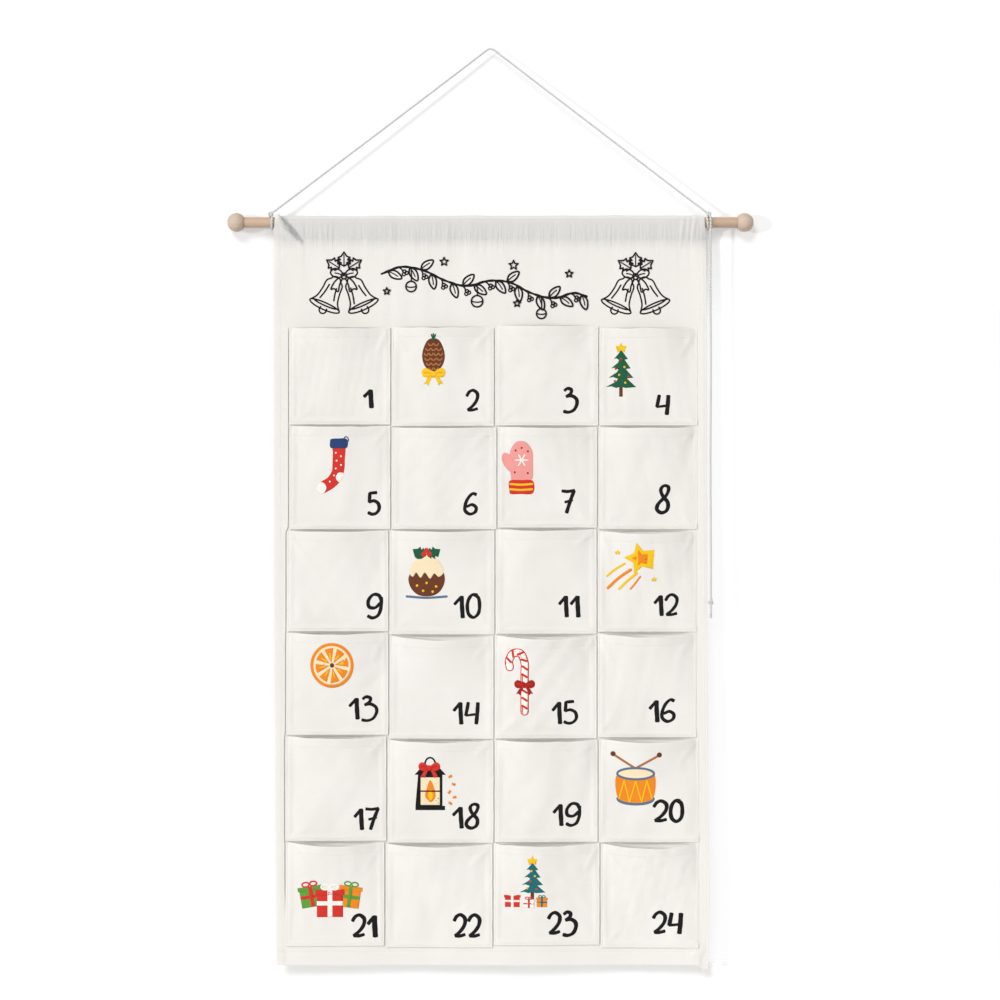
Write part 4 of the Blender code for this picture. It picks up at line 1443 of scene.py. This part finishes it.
def printed_piece(name, shapes, centre, target, slot):
    """Prints shapes, given in millimetres about their centre, onto a cloth's front face."""
    prints = bpy.context.scene.calendar_print
    store = {"points": [], "faces": [], "inks": [], "level": 0.0}
    for kind, ink, points, *rest in shapes:
        if kind == "fill":
            add_fill(store, points, ink)
        else:
            add_line(store, points, rest[0], ink, *rest[1:])
    placed = []
    for x, level, z in store["points"]:
        x, z = centre[0] + x * MM, centre[1] + z * MM
        spot, _ = surface_at(target, x, z)
        if spot is None:
            raise RuntimeError(f"{name} reaches past the cloth at {x:.4f}, {z:.4f}")
        placed.append((x, spot.y - prints.lift - level * prints.ink_layer, z))
    names = sorted(set(store["inks"]))
    obj = new_piece(name, placed, store["faces"], [ink_named(ink) for ink in names])
    obj.data.polygons.foreach_set("material_index", [names.index(ink) for ink in store["inks"]])
    if sum(face.normal.y for face in obj.data.polygons) > 0:
        obj.data.flip_normals()
    shape_with(obj, "SOLIDIFY", thickness=prints.ink_layer * 0.35, offset=-1.0)
    dress(obj, "cloth", slot)


# Each digit's width, its size beside the others, how far it drops, and its strokes: their weight and, in hundredths of
# the digit's height, their points.
DIGITS = {
    "0": (0.5, 1.08, 0.0, (
        (1.0, ((40, 98), (22, 100), (6, 80), (0, 45), (7, 12), (25, 0), (44, 16), (50, 55), (44, 88), (28, 100))),
    )),
    "1": (0.36, 1.0, 0.0, (
        (1.0, ((0, 62), (14, 79), (29, 97))),
        (1.28, ((31, 98), (33, 50), (36, 0))),
    )),
    "2": (0.54, 1.06, 0.0, (
        (1.0, ((0, 72), (13, 92), (32, 100), (54, 84), (53, 56), (34, 27), (6, 3))),
        (1.0, ((6, 3), (31, 3), (54, 9))),
    )),
    "3": (0.56, 1.18, 0.1, (
        (1.0, ((3, 91), (16, 100), (32, 94), (29, 79), (11, 66))),
        (1.0, ((11, 66), (33, 69), (53, 56), (56, 37), (43, 10), (21, 0), (0, 3))),
    )),
    "4": (0.6, 1.0, 0.0, (
        (1.05, ((14, 100), (8, 68), (2, 40))),
        (0.8, ((2, 39), (28, 42), (52, 45))),
        (1.15, ((61, 98), (58, 50), (53, 0))),
    )),
    "5": (0.57, 1.04, 0.0, (
        (1.0, ((8, 97), (26, 99), (44, 100))),
        (1.0, ((8, 97), (7, 77), (5, 56))),
        (1.0, ((5, 56), (30, 62), (53, 49), (57, 24), (42, 5), (20, 0), (0, 7))),
    )),
    "6": (0.55, 1.06, 0.0, (
        (1.0, ((55, 95), (40, 100), (18, 80), (3, 44), (3, 16), (26, 0), (51, 12), (54, 33), (35, 46), (10, 36))),
    )),
    "7": (0.6, 1.04, 0.0, (
        (1.0, ((0, 97), (28, 95), (60, 100))),
        (1.05, ((58, 98), (38, 48), (22, 0))),
        (0.9, ((14, 47), (33, 52), (50, 57))),
    )),
    "8": (0.42, 1.18, 0.02, (
        (1.0, ((26, 54), (17, 70), (14, 86), (21, 97), (30, 100), (41, 95), (42, 85), (36, 68), (26, 54))),
        (1.05, ((26, 54), (13, 42), (2, 27), (0, 13), (9, 2), (21, 0), (34, 7), (40, 21), (39, 38), (33, 47),
            (26, 54))),
    )),
    "9": (0.6, 1.06, 0.02, (
        (1.0, ((60, 80), (50, 97), (27, 100), (5, 74), (8, 48), (32, 43), (58, 64))),
        (1.0, ((61, 88), (61, 60), (57, 32), (44, 8), (22, 0), (3, 8))),
    )),
}
# Each number's middle, from its pocket's middle and from the pocket's bottom, and its width and height.
NUMBER_PLACES = (
    (32.2, 28.2, 12.3, 23.3), (33.7, 28.4, 15.9, 26.5), (27.3, 27.6, 19.0, 31.2), (16.2, 22.5, 17.0, 25.4),
    (38.9, 28.2, 16.2, 28.7), (30.7, 27.7, 16.5, 27.5), (23.9, 28.7, 18.0, 29.5), (17.2, 33.1, 17.3, 35.0),
    (42.5, 27.4, 19.2, 30.6), (28.8, 31.2, 32.5, 30.0), (26.1, 29.9, 25.5, 26.5), (21.1, 29.6, 28.9, 27.4),
    (29.7, 28.7, 34.7, 31.1), (28.0, 28.1, 31.3, 28.0), (21.6, 28.5, 30.8, 28.8), (16.8, 29.3, 31.4, 28.8),
    (35.4, 24.2, 30.9, 27.8), (28.8, 29.5, 32.1, 31.2), (23.5, 30.1, 33.4, 28.8), (22.1, 34.7, 36.9, 28.3),
    (33.1, 21.8, 30.6, 29.0), (31.8, 24.1, 33.1, 28.8), (17.9, 23.1, 35.9, 31.3), (20.0, 27.6, 35.9, 28.3),
)
DIGIT_GAP = 0.20


def number_shapes(number, wide, tall, stroke):
    """A number's strokes about its middle, in millimetres, drawn as with a round brush and a little unevenly."""
    draw = np.random.default_rng(700 + number)
    at, strokes = 0.0, []
    for digit in str(number):
        width, size, drop, lines = DIGITS[digit]
        strokes.extend((weight, np.array(line) / 100 * size + (at, -drop)) for weight, line in lines)
        at += width * size + DIGIT_GAP
    everything = np.vstack([line for _, line in strokes])
    low, high = everything.min(axis=0), everything.max(axis=0)
    scale = (np.array((wide, tall)) - stroke) / (high - low)
    shapes = []
    for weight, line in strokes:
        placed = (line - (low + high) / 2) * scale
        width = stroke * weight * draw.uniform(0.96, 1.04)
        shapes.append(inked([tuple(point) for point in placed], width, 0.04, 0.26))
    return shapes


class CALENDAR_OT_numbers(bpy.types.Operator):
    """Prints the numbers 1 to 24, one on each pocket"""

    bl_idname = "calendar.numbers"
    bl_label = "Numbers"

    def execute(self, context):
        stroke = context.scene.calendar_print.stroke / MM
        for number, (across, up, wide, tall) in enumerate(NUMBER_PLACES, 1):
            low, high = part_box(f"pocket_{number:02d}")
            centre = ((low.x + high.x) / 2 + across * MM, low.z + up * MM)
            weight = (0.94, 0.90, 1.04)[number // 10]
            shapes = number_shapes(number, wide, tall, stroke * weight)
            target = tree_of(bpy.data.objects[f"pocket_cloth_{number:02d}"])
            printed_piece(f"number_{number:02d}", shapes, centre, target, "pocket_canvas")
        return {"FINISHED"}


def fir_tree(ink, wide, tiers, base, top):
    """Tiers of a fir tree from the base up, each a little narrower."""
    shapes = []
    step = (top - base) / tiers
    for tier in range(tiers):
        low = base + tier * step
        half = wide * (1 - 0.72 * tier / tiers)
        peak = low + step * 1.5 if tier < tiers - 1 else top
        under = [(-half * 0.62, low + step * 0.08), (-half * 0.3, low - step * 0.10), (0.0, low + step * 0.06)]
        under += [(half * 0.3, low - step * 0.10), (half * 0.62, low + step * 0.08)]
        over = [(half, low), (half * 0.30, low + step * 0.62), (0.0, peak), (-half * 0.30, low + step * 0.62)]
        outline = [(-half, low), *under, *over]
        shapes.append(filled(ink, outline))
    return shapes


def parcel(x, z, wide, high, ink, ribbon, turn=0.0):
    """A wrapped box with a ribbon both ways and a small bow."""
    box = oblong(-wide / 2, 0.0, wide / 2, high)
    band = oblong(-wide * 0.09, 0.0, wide * 0.09, high)
    cross = oblong(-wide / 2, high * 0.42, wide / 2, high * 0.58)
    lid = oblong(-wide * 0.56, high * 0.80, wide * 0.56, high)
    layers = ((ink, box), (ribbon, cross), (ink, lid), (ribbon, band))
    shapes = [filled(colour_name, moved(points, x, z, turn)) for colour_name, points in layers]
    for side in (-1, 1):
        loop = arc(side * wide * 0.17, high + wide * 0.10, wide * 0.16, wide * 0.10, 0, 350)
        shapes.append(drawn(ribbon, moved(loop, x, z, turn), wide * 0.07))
    return shapes


def ornament_shapes():
    """The pockets' motifs, each with its pocket, its place as shares of the cell and its shapes in millimetres."""
    cone = [blob("brown", [(0, -14), (9, -9), (13, 2), (11, 14), (5, 23), (-5, 23), (-11, 14), (-13, 2), (-9, -9)])]
    for row in range(6):
        level = 19 - row * 5.6
        half = (6.5, 9.5, 11.0, 10.5, 8.5, 5.5)[row]
        count = (2, 3, 4, 3, 3, 2)[row]
        for step in range(count):
            place = -half + 2 * half * (step + 0.5) / count
            cone.append(drawn("tan", arc(place, level, half / count * 0.86, 3.2, 200, 340, 6), 1.5))
    for angle in (60, 90, 120):
        needle = [(0, 22), (4.5 * math.cos(math.radians(angle)), 22 + 7 * math.sin(math.radians(angle)))]
        cone.append(drawn("green", needle, 1.7))
    cone += bow(0, -17, 11.5, "yellow", "orange")

    tree = [filled("brown", oblong(-2, -31, 2, -17))]
    tree += fir_tree("green", 17.5, 4, -20, 23)
    tree.append(filled("yellow", star(0, 25, 6.5)))
    baubles = ((-7, -13), (5, -15), (9, -8), (-2, -6), (-6, 1), (4, 3), (0, 12))
    for index, place in enumerate(baubles):
        tree += dots(("red", "yellow")[index % 2], 1.3, 12, [place])

    stocking = [blob("red", [
        (1, 24), (15, 26), (15.5, 10), (14, -6), (8, -18), (-2, -26), (-13, -30), (-17, -25), (-13, -17),
        (-4, -11), (1, -2), (2, 10),
    ])]
    stocking.append(blob("white", [(-8, -28.5), (-13, -30), (-17, -25), (-13, -17), (-8.5, -18), (-6, -23)]))
    stocking.append(blob("white", [(14, -6), (9, -16.5), (5, -12), (8, -6)]))
    stocking.append(blob("navy", [(-1.5, 32), (8, 33.5), (18, 32.5), (18, 23), (8, 22.2), (-1, 23)]))
    stocking += dots("white", 1.1, 10, ((5, 17), (11, 13), (6, 8), (11, 3), (5, -1), (3, -9), (-2, -16)))
    stocking.append(drawn("navy", arc(17, 32, 2.6, 3.4, -60, 200), 1.2))

    mitten = [blob("pink", [(-11, -16), (12, -16), (14, 2), (13, 18), (5, 28), (-5, 28), (-12, 18), (-13, 4)])]
    mitten.append(blob("pink", [(-9, -8), (-17, -2), (-22, 8), (-20, 15), (-14, 14), (-9, 6)]))
    mitten.append(blob("red", [(-13, -31), (0, -32), (14, -31), (14, -17), (0, -16), (-13, -17)]))
    for level in (-20.5, -26.5):
        mitten.append(drawn("yellow", [(-12, level), (0, level - 0.8), (13, level)], 2.4))
    for angle in (0, 60, 120):
        mitten.append(drawn("white", [polar(angle, -7, 1, 7), polar(angle, 7, 1, 7)], 1.5))
    mitten += dots("dark_red", 1.2, 10, ((-7, -7), (8, -8), (1, 21), (-6, 18), (8, 17)))

    pudding = [blob("brown", [
        (-21, -8), (-18, -20), (-9, -28), (9, -28), (18, -20), (21, -8), (15, 6), (0, 12), (-15, 6),
    ])]
    pudding.append(blob("cream", [
        (-20, -2), (-16, -7), (-12, -2), (-7, -8), (-2, -2), (4, -9), (9, -3), (14, -7), (20, -1), (16, 9),
        (8, 16), (-8, 16), (-16, 9),
    ]))
    pudding += dots("yellow", 1.5, 10, ((-11, -17), (0, -14), (11, -18), (-4, -23), (7, -24)))
    pudding.append(filled("green", holly(-1, 17, 17, 15, 152)))
    pudding.append(filled("green", holly(1, 17, 17, 15, 28)))
    pudding += dots("red", 3.0, 16, ((-3, 19), (3, 19.5), (0, 23.5)))
    pudding.append(drawn("slate", [(-23, -29.5), (0, -31), (23, -29.5)], 2.6))

    shooting = [
        drawn("orange", [(-1, -4), (-14, -13), (-27, -25)], 3.4),
        drawn("yellow", [(6, -8), (-5, -17), (-14, -26)], 3.0),
        drawn("yellow", [(-8, 3), (-18, -3), (-28, -11)], 2.6),
        drawn("orange", [(10, -12), (4, -20), (-1, -26)], 2.2),
    ]
    shooting.append(filled("yellow", star(10, 9, 19, inner=0.5, turn=14)))
    shooting.append(filled("orange", star(10, 9, 10, inner=0.5, turn=14)))
    shooting += [filled("yellow", star(x, z, 3.4)) for x, z in ((-16, 16), (26, -15))]

    slice_ = [filled("orange", oval(0, 0, 25, 26, count=40)), filled("cream", oval(0, 0, 21.5, 22.5, count=36))]
    for wedge in range(8):
        a = wedge * 45 + 11
        slice_.append(filled("orange", [polar(a, 3), *arc(0, 0, 19, 20, a - 16, a + 16, 5)]))
        slice_.append(drawn("yellow", [polar(a, 8), polar(a, 14)], 1.4))
    slice_ += dots("brown", 2.6, 14, [(0, 0)])

    hook = [(4, -36), (4, -16), (4, 8), (4, 20), (-1, 31), (-9, 31), (-14, 22), (-13, 15)]
    cane = [drawn("red", hook, 9.6), drawn("white", hook, 7.4)]
    middle = smooth_line(hook, 1.0)
    for index in range(5, len(middle) - 4, 9):
        along = middle[index + 1] - middle[index - 1]
        along /= np.linalg.norm(along)
        across = np.array((-along[1], along[0])) * 2.6 + along * 1.6
        cane.append(drawn("red", [tuple(middle[index] - across), tuple(middle[index] + across)], 2.6))
    cane += bow(4, -6, 10.0, "dark_red", "red")

    lantern = [filled("black", [
        (-17, -33), (17, -33), (17, -28), (14, -28), (14, 8), (-14, 8), (-14, -28), (-17, -28),
    ])]
    lantern.append(filled("cream", oblong(-11, -27, 11, 5)))
    lantern.append(filled("black", [(-18, 8), (18, 8), (9, 18), (-9, 18)]))
    lantern.append(inked(arc(0, 20, 6, 8, -20, 200), 2.0))
    lantern.append(blob("orange", [(0, -24), (6, -18), (5, -9), (0, 2), (-4, -8), (-6, -17)]))
    lantern.append(blob("yellow", [(0, -22), (3, -17), (0.5, -9), (-2.5, -16)]))
    lantern.append(inked([(-11, -11), (11, -11)], 1.6))
    lantern += bow(-1, 16, 10.5, "red", "dark_red")
    for x, z, turn in ((23, 6, 30), (27, -3, -20), (22, -12, 50), (28, -18, 10), (23, -25, -35)):
        lantern.append(filled("orange", moved(oblong(-2.2, -1.4, 2.2, 1.4), x, z, turn)))

    drum = [drawn("tan", [(-25, 27), (-8, 16), (8, 6)], 2.6), drawn("tan", [(26, 26), (8, 16), (-6, 8)], 2.6)]
    drum += dots("brown", 3.0, 14, ((-26, 28), (27, 27)))
    drum.append(blob("orange", [(-21, 4), (-20, -24), (-12, -29), (0, -31), (12, -29), (20, -24), (21, 4), (0, 0)]))
    drum.append(filled("cream", oval(0, 5, 21, 6.5, count=32)))
    drum.append(drawn("slate", arc(0, 5, 21, 6.5, 0, 360, 30), 2.6))
    drum.append(drawn("slate", arc(0, -24, 20.5, 6.5, 180, 360, 16), 3.0))
    zigzag = [(-19, -24), (-13, -3), (-7, -28), (0, -4), (7, -28), (13, -3), (19, -24)]
    drum += [drawn("yellow", [a, b], 1.4) for a, b in zip(zigzag, zigzag[1:])]

    gifts = parcel(-19, -16, 26, 24, "leaf", "red", 10) + parcel(21, -17, 24, 25, "orange", "leaf", -8)
    gifts += parcel(0, -28, 30, 32, "red", "white")

    scene = [filled("brown", oblong(5, -20, 9, -10))]
    scene += [(kind, ink, moved(points, 7, 2)) for kind, ink, points in fir_tree("teal", 15, 4, -14, 21)]
    scene.append(filled("yellow", star(7, 25, 6.2)))
    scene += dots("yellow", 1.3, 12, [(1, -7)]) + dots("red", 1.3, 12, ((12, -8), (5, 1)))
    scene += dots("yellow", 1.3, 12, ((10, 7), (6, 13)))
    scene += parcel(-16, -29, 17, 14, "red", "white") + parcel(3, -30, 13, 10, "white", "red")
    scene += parcel(18, -29, 12, 11, "orange", "teal")

    return (
        (2, 0.41, 0.65, cone), (4, 0.23, 0.545, tree), (5, 0.42, 0.60, stocking), (7, 0.24, 0.60, mitten),
        (10, 0.35, 0.62, pudding), (12, 0.345, 0.64, shooting), (13, 0.45, 0.68, slice_), (15, 0.26, 0.57, cane),
        (18, 0.40, 0.60, lantern), (20, 0.37, 0.63, drum), (21, 0.45, 0.52, gifts), (23, 0.30, 0.62, scene),
    )


class CALENDAR_OT_ornaments(bpy.types.Operator):
    """Prints the small seasonal motifs on twelve of the pockets"""

    bl_idname = "calendar.ornaments"
    bl_label = "Ornaments"

    def execute(self, context):
        for number, across, up, shapes in ornament_shapes():
            left, right, bottom, *_ = pocket_shape(number)
            centre = ((left + right) / 2 + (across - 0.5) * MOTIF_CELL, bottom + up * MOTIF_CELL)
            target = tree_of(bpy.data.objects[f"pocket_cloth_{number:02d}"])
            printed_piece(f"ornament_{number:02d}", shapes, centre, target, "pocket_canvas")
        return {"FINISHED"}


def bell_shapes(stroke):
    """Two line-drawn bells that lean apart under a bow and three holly leaves, about their centre in millimetres."""
    shapes = []
    side_line = [(-5.5, 17), (-9.5, 13), (-10.5, 3), (-13, -8), (-18.5, -15.5)]
    for side in (-1, 1):
        bell = [
            side_line,
            [(-u, v) for u, v in side_line],
            arc(0, 16.5, 5.6, 4.2, 10, 170),
            arc(0, -15.5, 18.5, 4.6, 180, 360, 16),
            arc(0, -15.5, 18.5, 3.6, 0, 180, 16),
            arc(0, -13.0, 14.5, 2.2, 190, 350, 12),
            arc(0, -20.5, 4.2, 4.4, 150, 390, 12),
            [(-5.0, 9), (-6.2, 0), (-8.6, -9)],
            [(4.6, 8), (5.6, 1), (7.4, -6)],
        ]
        for line in bell:
            shapes.append(inked(moved(line, side * 16.0, -9.0, side * 24.0), stroke))
    for side in (-1, 1):
        loop = [(0, 12), (5, 18), (12, 19.5), (15.5, 15), (12, 10.5), (5, 9.5), (0, 12)]
        shapes.append(inked(moved(loop, mirror=side), stroke))
        shapes.append(inked(moved([(3, 12.5), (7, 14), (10.5, 14.5)], mirror=side), stroke * 0.8))
        tail = [(1.5, 8.5), (5, 1), (7, -7), (11.5, -3.5), (15, -4.5), (11, 4), (5.5, 9.5)]
        shapes.append(inked(moved(tail, mirror=side), stroke))
    shapes.append(inked(arc(0, 11, 3.2, 3.4, 0, 360, 14), stroke))
    for angle, length in ((90, 16), (148, 17), (32, 17)):
        base = (6.5 * math.cos(math.radians(angle)), 18 + 4.5 * math.sin(math.radians(angle)))
        leaf = holly(base[0], base[1], length, 15, angle)
        for first, second in zip(leaf, leaf[1:] + leaf[:1]):
            middle = ((first[0] + second[0]) / 2, (first[1] + second[1]) / 2)
            shapes.append(inked([first, middle, second], stroke))
        shapes.append(inked([base, polar(angle, length * 0.8, *base)], stroke * 0.7))
    return shapes


def garland_shapes(stroke):
    """A line-drawn garland of leaves, berries, stars and baubles, about its centre in millimetres."""
    wave = [
        (-118, 12), (-96, 20), (-70, 16), (-44, 4), (-20, -2), (6, 4), (30, 2), (54, -10), (80, -16),
        (104, -10), (118, -14),
    ]
    vine = smooth_line(wave, 1.0)
    shapes = [inked(wave, stroke * 1.5, 0.15)]
    for index in range(8, len(vine) - 6, 13):
        along = vine[index + 1] - vine[index - 1]
        angle = math.degrees(math.atan2(along[1], along[0]))
        side = 1 if (index // 13) % 2 else -1
        x, z = vine[index]
        kind = (index // 13) % 4
        if kind in (0, 2, 3):
            leaf = [(0.0, 0.0), (5.0, 3.4), (11.0, 2.8), (15.0, 0.0), (11.0, -2.8), (5.0, -3.4), (0.0, 0.0)]
            shapes.append(inked(moved(leaf, x, z, angle + side * 52, 1.2), stroke * 1.15))
            vein = [(0.0, 0.0), (6.0, 0.4), (10.5, 0.0)]
            shapes.append(inked(moved(vein, x, z, angle + side * 52, 1.2), stroke * 0.75))
        if kind in (1, 3):
            stem = moved([(0.0, 0.0), (4.0, 1.5), (7.0, 1.0)], x, z, angle - side * 64)
            shapes.append(inked(stem, stroke))
            for dx, dz in ((2.4, 0.0), (1.4, 3.4), (5.2, 1.8)):
                middle = (stem[-1][0] + dx * 0.8, stem[-1][1] + dz * 0.9 * -side)
                shapes.append(inked(arc(*middle, 1.9, 1.9, 0, 360, 10), stroke * 0.9))
    for x, drop, size in ((-84, 22, 6.0), (-8, 20, 6.6), (66, 20, 5.6)):
        top = float(np.interp(x, vine[:, 0], vine[:, 1]))
        shapes.append(inked([(x, top), (x + 0.4, top - drop / 2), (x, top - drop + size)], stroke * 0.8))
        shapes.append(inked(arc(x, top - drop, size, size, 0, 360, 20), stroke))
        shapes.append(inked(arc(x, top - drop + 1.2, size, size * 0.35, 200, 340, 8), stroke * 0.8))
    for x, z, size in ((-46, 26, 5.0), (34, 22, 5.6), (98, 12, 4.6), (-112, -8, 4.2), (38, -22, 4.4)):
        corners = star(x, z, size)
        shapes += [inked([a, b], stroke * 0.9) for a, b in zip(corners, corners[1:] + corners[:1])]
    return shapes


class CALENDAR_OT_header(bpy.types.Operator):
    """Prints the header's line drawings: bells at both sides and a garland between them"""

    bl_idname = "calendar.header"
    bl_label = "Header prints"

    def execute(self, context):
        stroke = context.scene.calendar_print.fine_stroke / MM
        panel = tree_of(bpy.data.objects["canvas_panel"])
        bells = bell_shapes(stroke)
        printed_piece("header_bells_left", bells, (-0.1688, -0.2715), panel, "canvas")
        printed_piece("header_bells_right", bells, (0.1670, -0.2722), panel, "canvas")
        printed_piece("header_garland", garland_shapes(stroke), (-0.0075, -0.2700), panel, "canvas")
        return {"FINISHED"}


# ---------------------------------------------------------------- stage


# How much of the wall shows below the bottom hem, and the heights between which that changes, and by how much.
VEIL_COVER = 0.97
VEIL_CHANGES = ((-1.057, -1.053, -0.81), (-0.310, -0.222, 0.57), (-0.200, -0.180, -0.21))


def wall_material(name, base):
    """Matt wall paint behind the object, as a veil that takes its shadow and lets the white background through.

    It is dense below the hem, thin behind the pockets and denser at the rod, and can't be seen from behind."""
    material, shader = new_material(name, 1.0)
    shader.inputs["Base Color"].default_value = base
    shader.inputs["Specular IOR Level"].default_value = 0.0
    clear = add_node(material, "ShaderNodeBsdfTransparent")
    place = own_place(material)
    height = add_node(material, "ShaderNodeSeparateXYZ", None, {0: place}).outputs["Z"]
    cover = VEIL_COVER
    for low, high, change in VEIL_CHANGES:
        cover = maths(material, "ADD", cover, mapped(material, height, low, high, to_high=change))
    behind = add_node(material, "ShaderNodeNewGeometry").outputs["Backfacing"]
    share = maths(material, "MULTIPLY", cover, maths(material, "SUBTRACT", 1.0, behind))
    mix = add_node(material, "ShaderNodeMixShader", None, {0: share, 1: clear.outputs[0], 2: shader.outputs[0]})
    material.node_tree.links.new(mix.outputs[0], material.node_tree.nodes["Material Output"].inputs["Surface"])
    return material


def floor_material(name, base):
    """Matt painted floor, pale and even."""
    material, shader = new_material(name, 0.9)
    place = own_place(material)
    patches = noise_value(material, place, (2.0, 2.0, 2.0), detail=3.0)
    tone = mixed(material, patches, shade(base, 0.985), shade(base, 1.01))
    link_input(material, tone, shader, "Base Color")
    return material


# Each light's name, the direction that it shines from, its strength and its angle in degrees.
SUNS = (
    ("window_light", (-1.4, -1.0, 0.03), 1.2, 2.5),
    ("ceiling_light", (-0.40, -1.0, 0.82), 1.60, 24.0),
    ("fill_light", (0.55, -1.0, -0.05), 0.62, 50.0),
)


def add_sun(name, direction, strength, angle):
    """A distant light that shines from a direction."""
    light = bpy.data.lights.new(name, "SUN")
    light.energy = strength
    light.angle = math.radians(angle)
    obj = bpy.data.objects.new(name, light)
    obj.rotation_euler = Vector(direction).to_track_quat("Z", "Y").to_euler()
    obj.location = Vector(direction).normalized() * 3
    bpy.context.scene.collection.objects.link(obj)


class CALENDAR_OT_stage(bpy.types.Operator):
    """Sets the camera, the wall, the floor and the studio light"""

    bl_idname = "calendar.stage"
    bl_label = "Stage"

    def execute(self, context):
        stage = context.scene.calendar_stage
        data = bpy.data.cameras.new("photo_camera")
        data.lens = 85.0
        data.sensor_width = 36.0
        data.clip_end = 60.0
        camera = bpy.data.objects.new("photo_camera", data)
        camera.location = (0.0109, -stage.camera_distance, -0.5184)
        camera.rotation_euler = (math.pi / 2, 0.0, 0.0)
        context.scene.collection.objects.link(camera)
        context.scene.camera = camera
        context.scene.view_settings.view_transform = "Standard"
        bpy.ops.object.select_all(action="DESELECT")
        lean = math.atan2(stage.wall_gap - stage.foot_gap, ROD_Z - BOTTOM_Z)
        bpy.ops.mesh.primitive_plane_add(
            size=6.0, location=(0.0, stage.wall_gap, ROD_Z), rotation=(math.pi / 2 + lean, 0.0, 0.0)
        )
        wall = bpy.context.object
        settle(wall, "studio_wall")
        wall.data.materials.append(wall_material("Wall_paint_matt", stage.wall_colour))
        bpy.ops.mesh.primitive_plane_add(size=6.0, location=(0.0, stage.wall_gap - 3.0, -stage.floor_drop))
        floor = bpy.context.object
        settle(floor, "studio_floor")
        floor.data.materials.append(floor_material("Floor_paint_matt", stage.floor_colour))
        for sun in SUNS:
            add_sun(*sun)
        world = bpy.data.worlds.new("studio_world")
        context.scene.world = world
        world.use_nodes = True
        soft = world.node_tree.nodes["Background"]
        soft.inputs["Color"].default_value = linear("#FFFFFF")
        soft.inputs["Strength"].default_value = 0.25
        white = add_node(world, "ShaderNodeBackground", None, {"Color": linear("#FFFFFF"), "Strength": 1.0})
        path = add_node(world, "ShaderNodeLightPath").outputs
        seen = maths(world, "MAXIMUM", path["Is Camera Ray"], path["Is Glossy Ray"])
        seen = maths(world, "MAXIMUM", seen, path["Is Transmission Ray"])
        mix = add_node(world, "ShaderNodeMixShader", None, {0: seen, 1: soft.outputs[0], 2: white.outputs[0]})
        world.node_tree.links.new(mix.outputs[0], world.node_tree.nodes["World Output"].inputs["Surface"])
        return {"FINISHED"}


OPERATORS = (
    CALENDAR_OT_stage, CALENDAR_OT_cord, CALENDAR_OT_panel, CALENDAR_OT_pockets, CALENDAR_OT_rod,
    CALENDAR_OT_stitching, CALENDAR_OT_numbers, CALENDAR_OT_ornaments, CALENDAR_OT_header,
)
SETTINGS = {
    "calendar_cloth": ClothSettings,
    "calendar_cord": CordSettings,
    "calendar_wood": WoodSettings,
    "calendar_print": PrintSettings,
    "calendar_stage": StageSettings,
}


class CALENDAR_PT_pieces(bpy.types.Panel):
    """Lists the calendar's pieces and their settings"""

    bl_label = "Advent calendar"
    bl_idname = "CALENDAR_PT_pieces"
    bl_space_type = "VIEW_3D"
    bl_region_type = "UI"
    bl_category = "Calendar"

    def draw(self, context):
        for operator in OPERATORS:
            self.layout.operator(operator.bl_idname)
        for name, group in SETTINGS.items():
            box = self.layout.box()
            for setting in group.__annotations__:
                box.prop(getattr(context.scene, name), setting)


def register():
    """Registers the settings, the operators and the panel."""
    for group in SETTINGS.values():
        bpy.utils.register_class(group)
    for name, group in SETTINGS.items():
        setattr(bpy.types.Scene, name, PointerProperty(type=group))
    for operator in OPERATORS:
        bpy.utils.register_class(operator)
    bpy.utils.register_class(CALENDAR_PT_pieces)


def unregister():
    """Takes back what register does, in the opposite order."""
    bpy.utils.unregister_class(CALENDAR_PT_pieces)
    for operator in reversed(OPERATORS):
        bpy.utils.unregister_class(operator)
    for name, group in reversed(SETTINGS.items()):
        delattr(bpy.types.Scene, name)
        bpy.utils.unregister_class(group)


def main():
    """Builds every piece in order."""
    register()
    bpy.ops.calendar.stage()
    bpy.ops.calendar.cord()
    bpy.ops.calendar.panel()
    bpy.ops.calendar.pockets()
    bpy.ops.calendar.rod()
    bpy.ops.calendar.stitching()
    bpy.ops.calendar.numbers()
    bpy.ops.calendar.ornaments()
    bpy.ops.calendar.header()


if __name__ == "__main__":
    main()
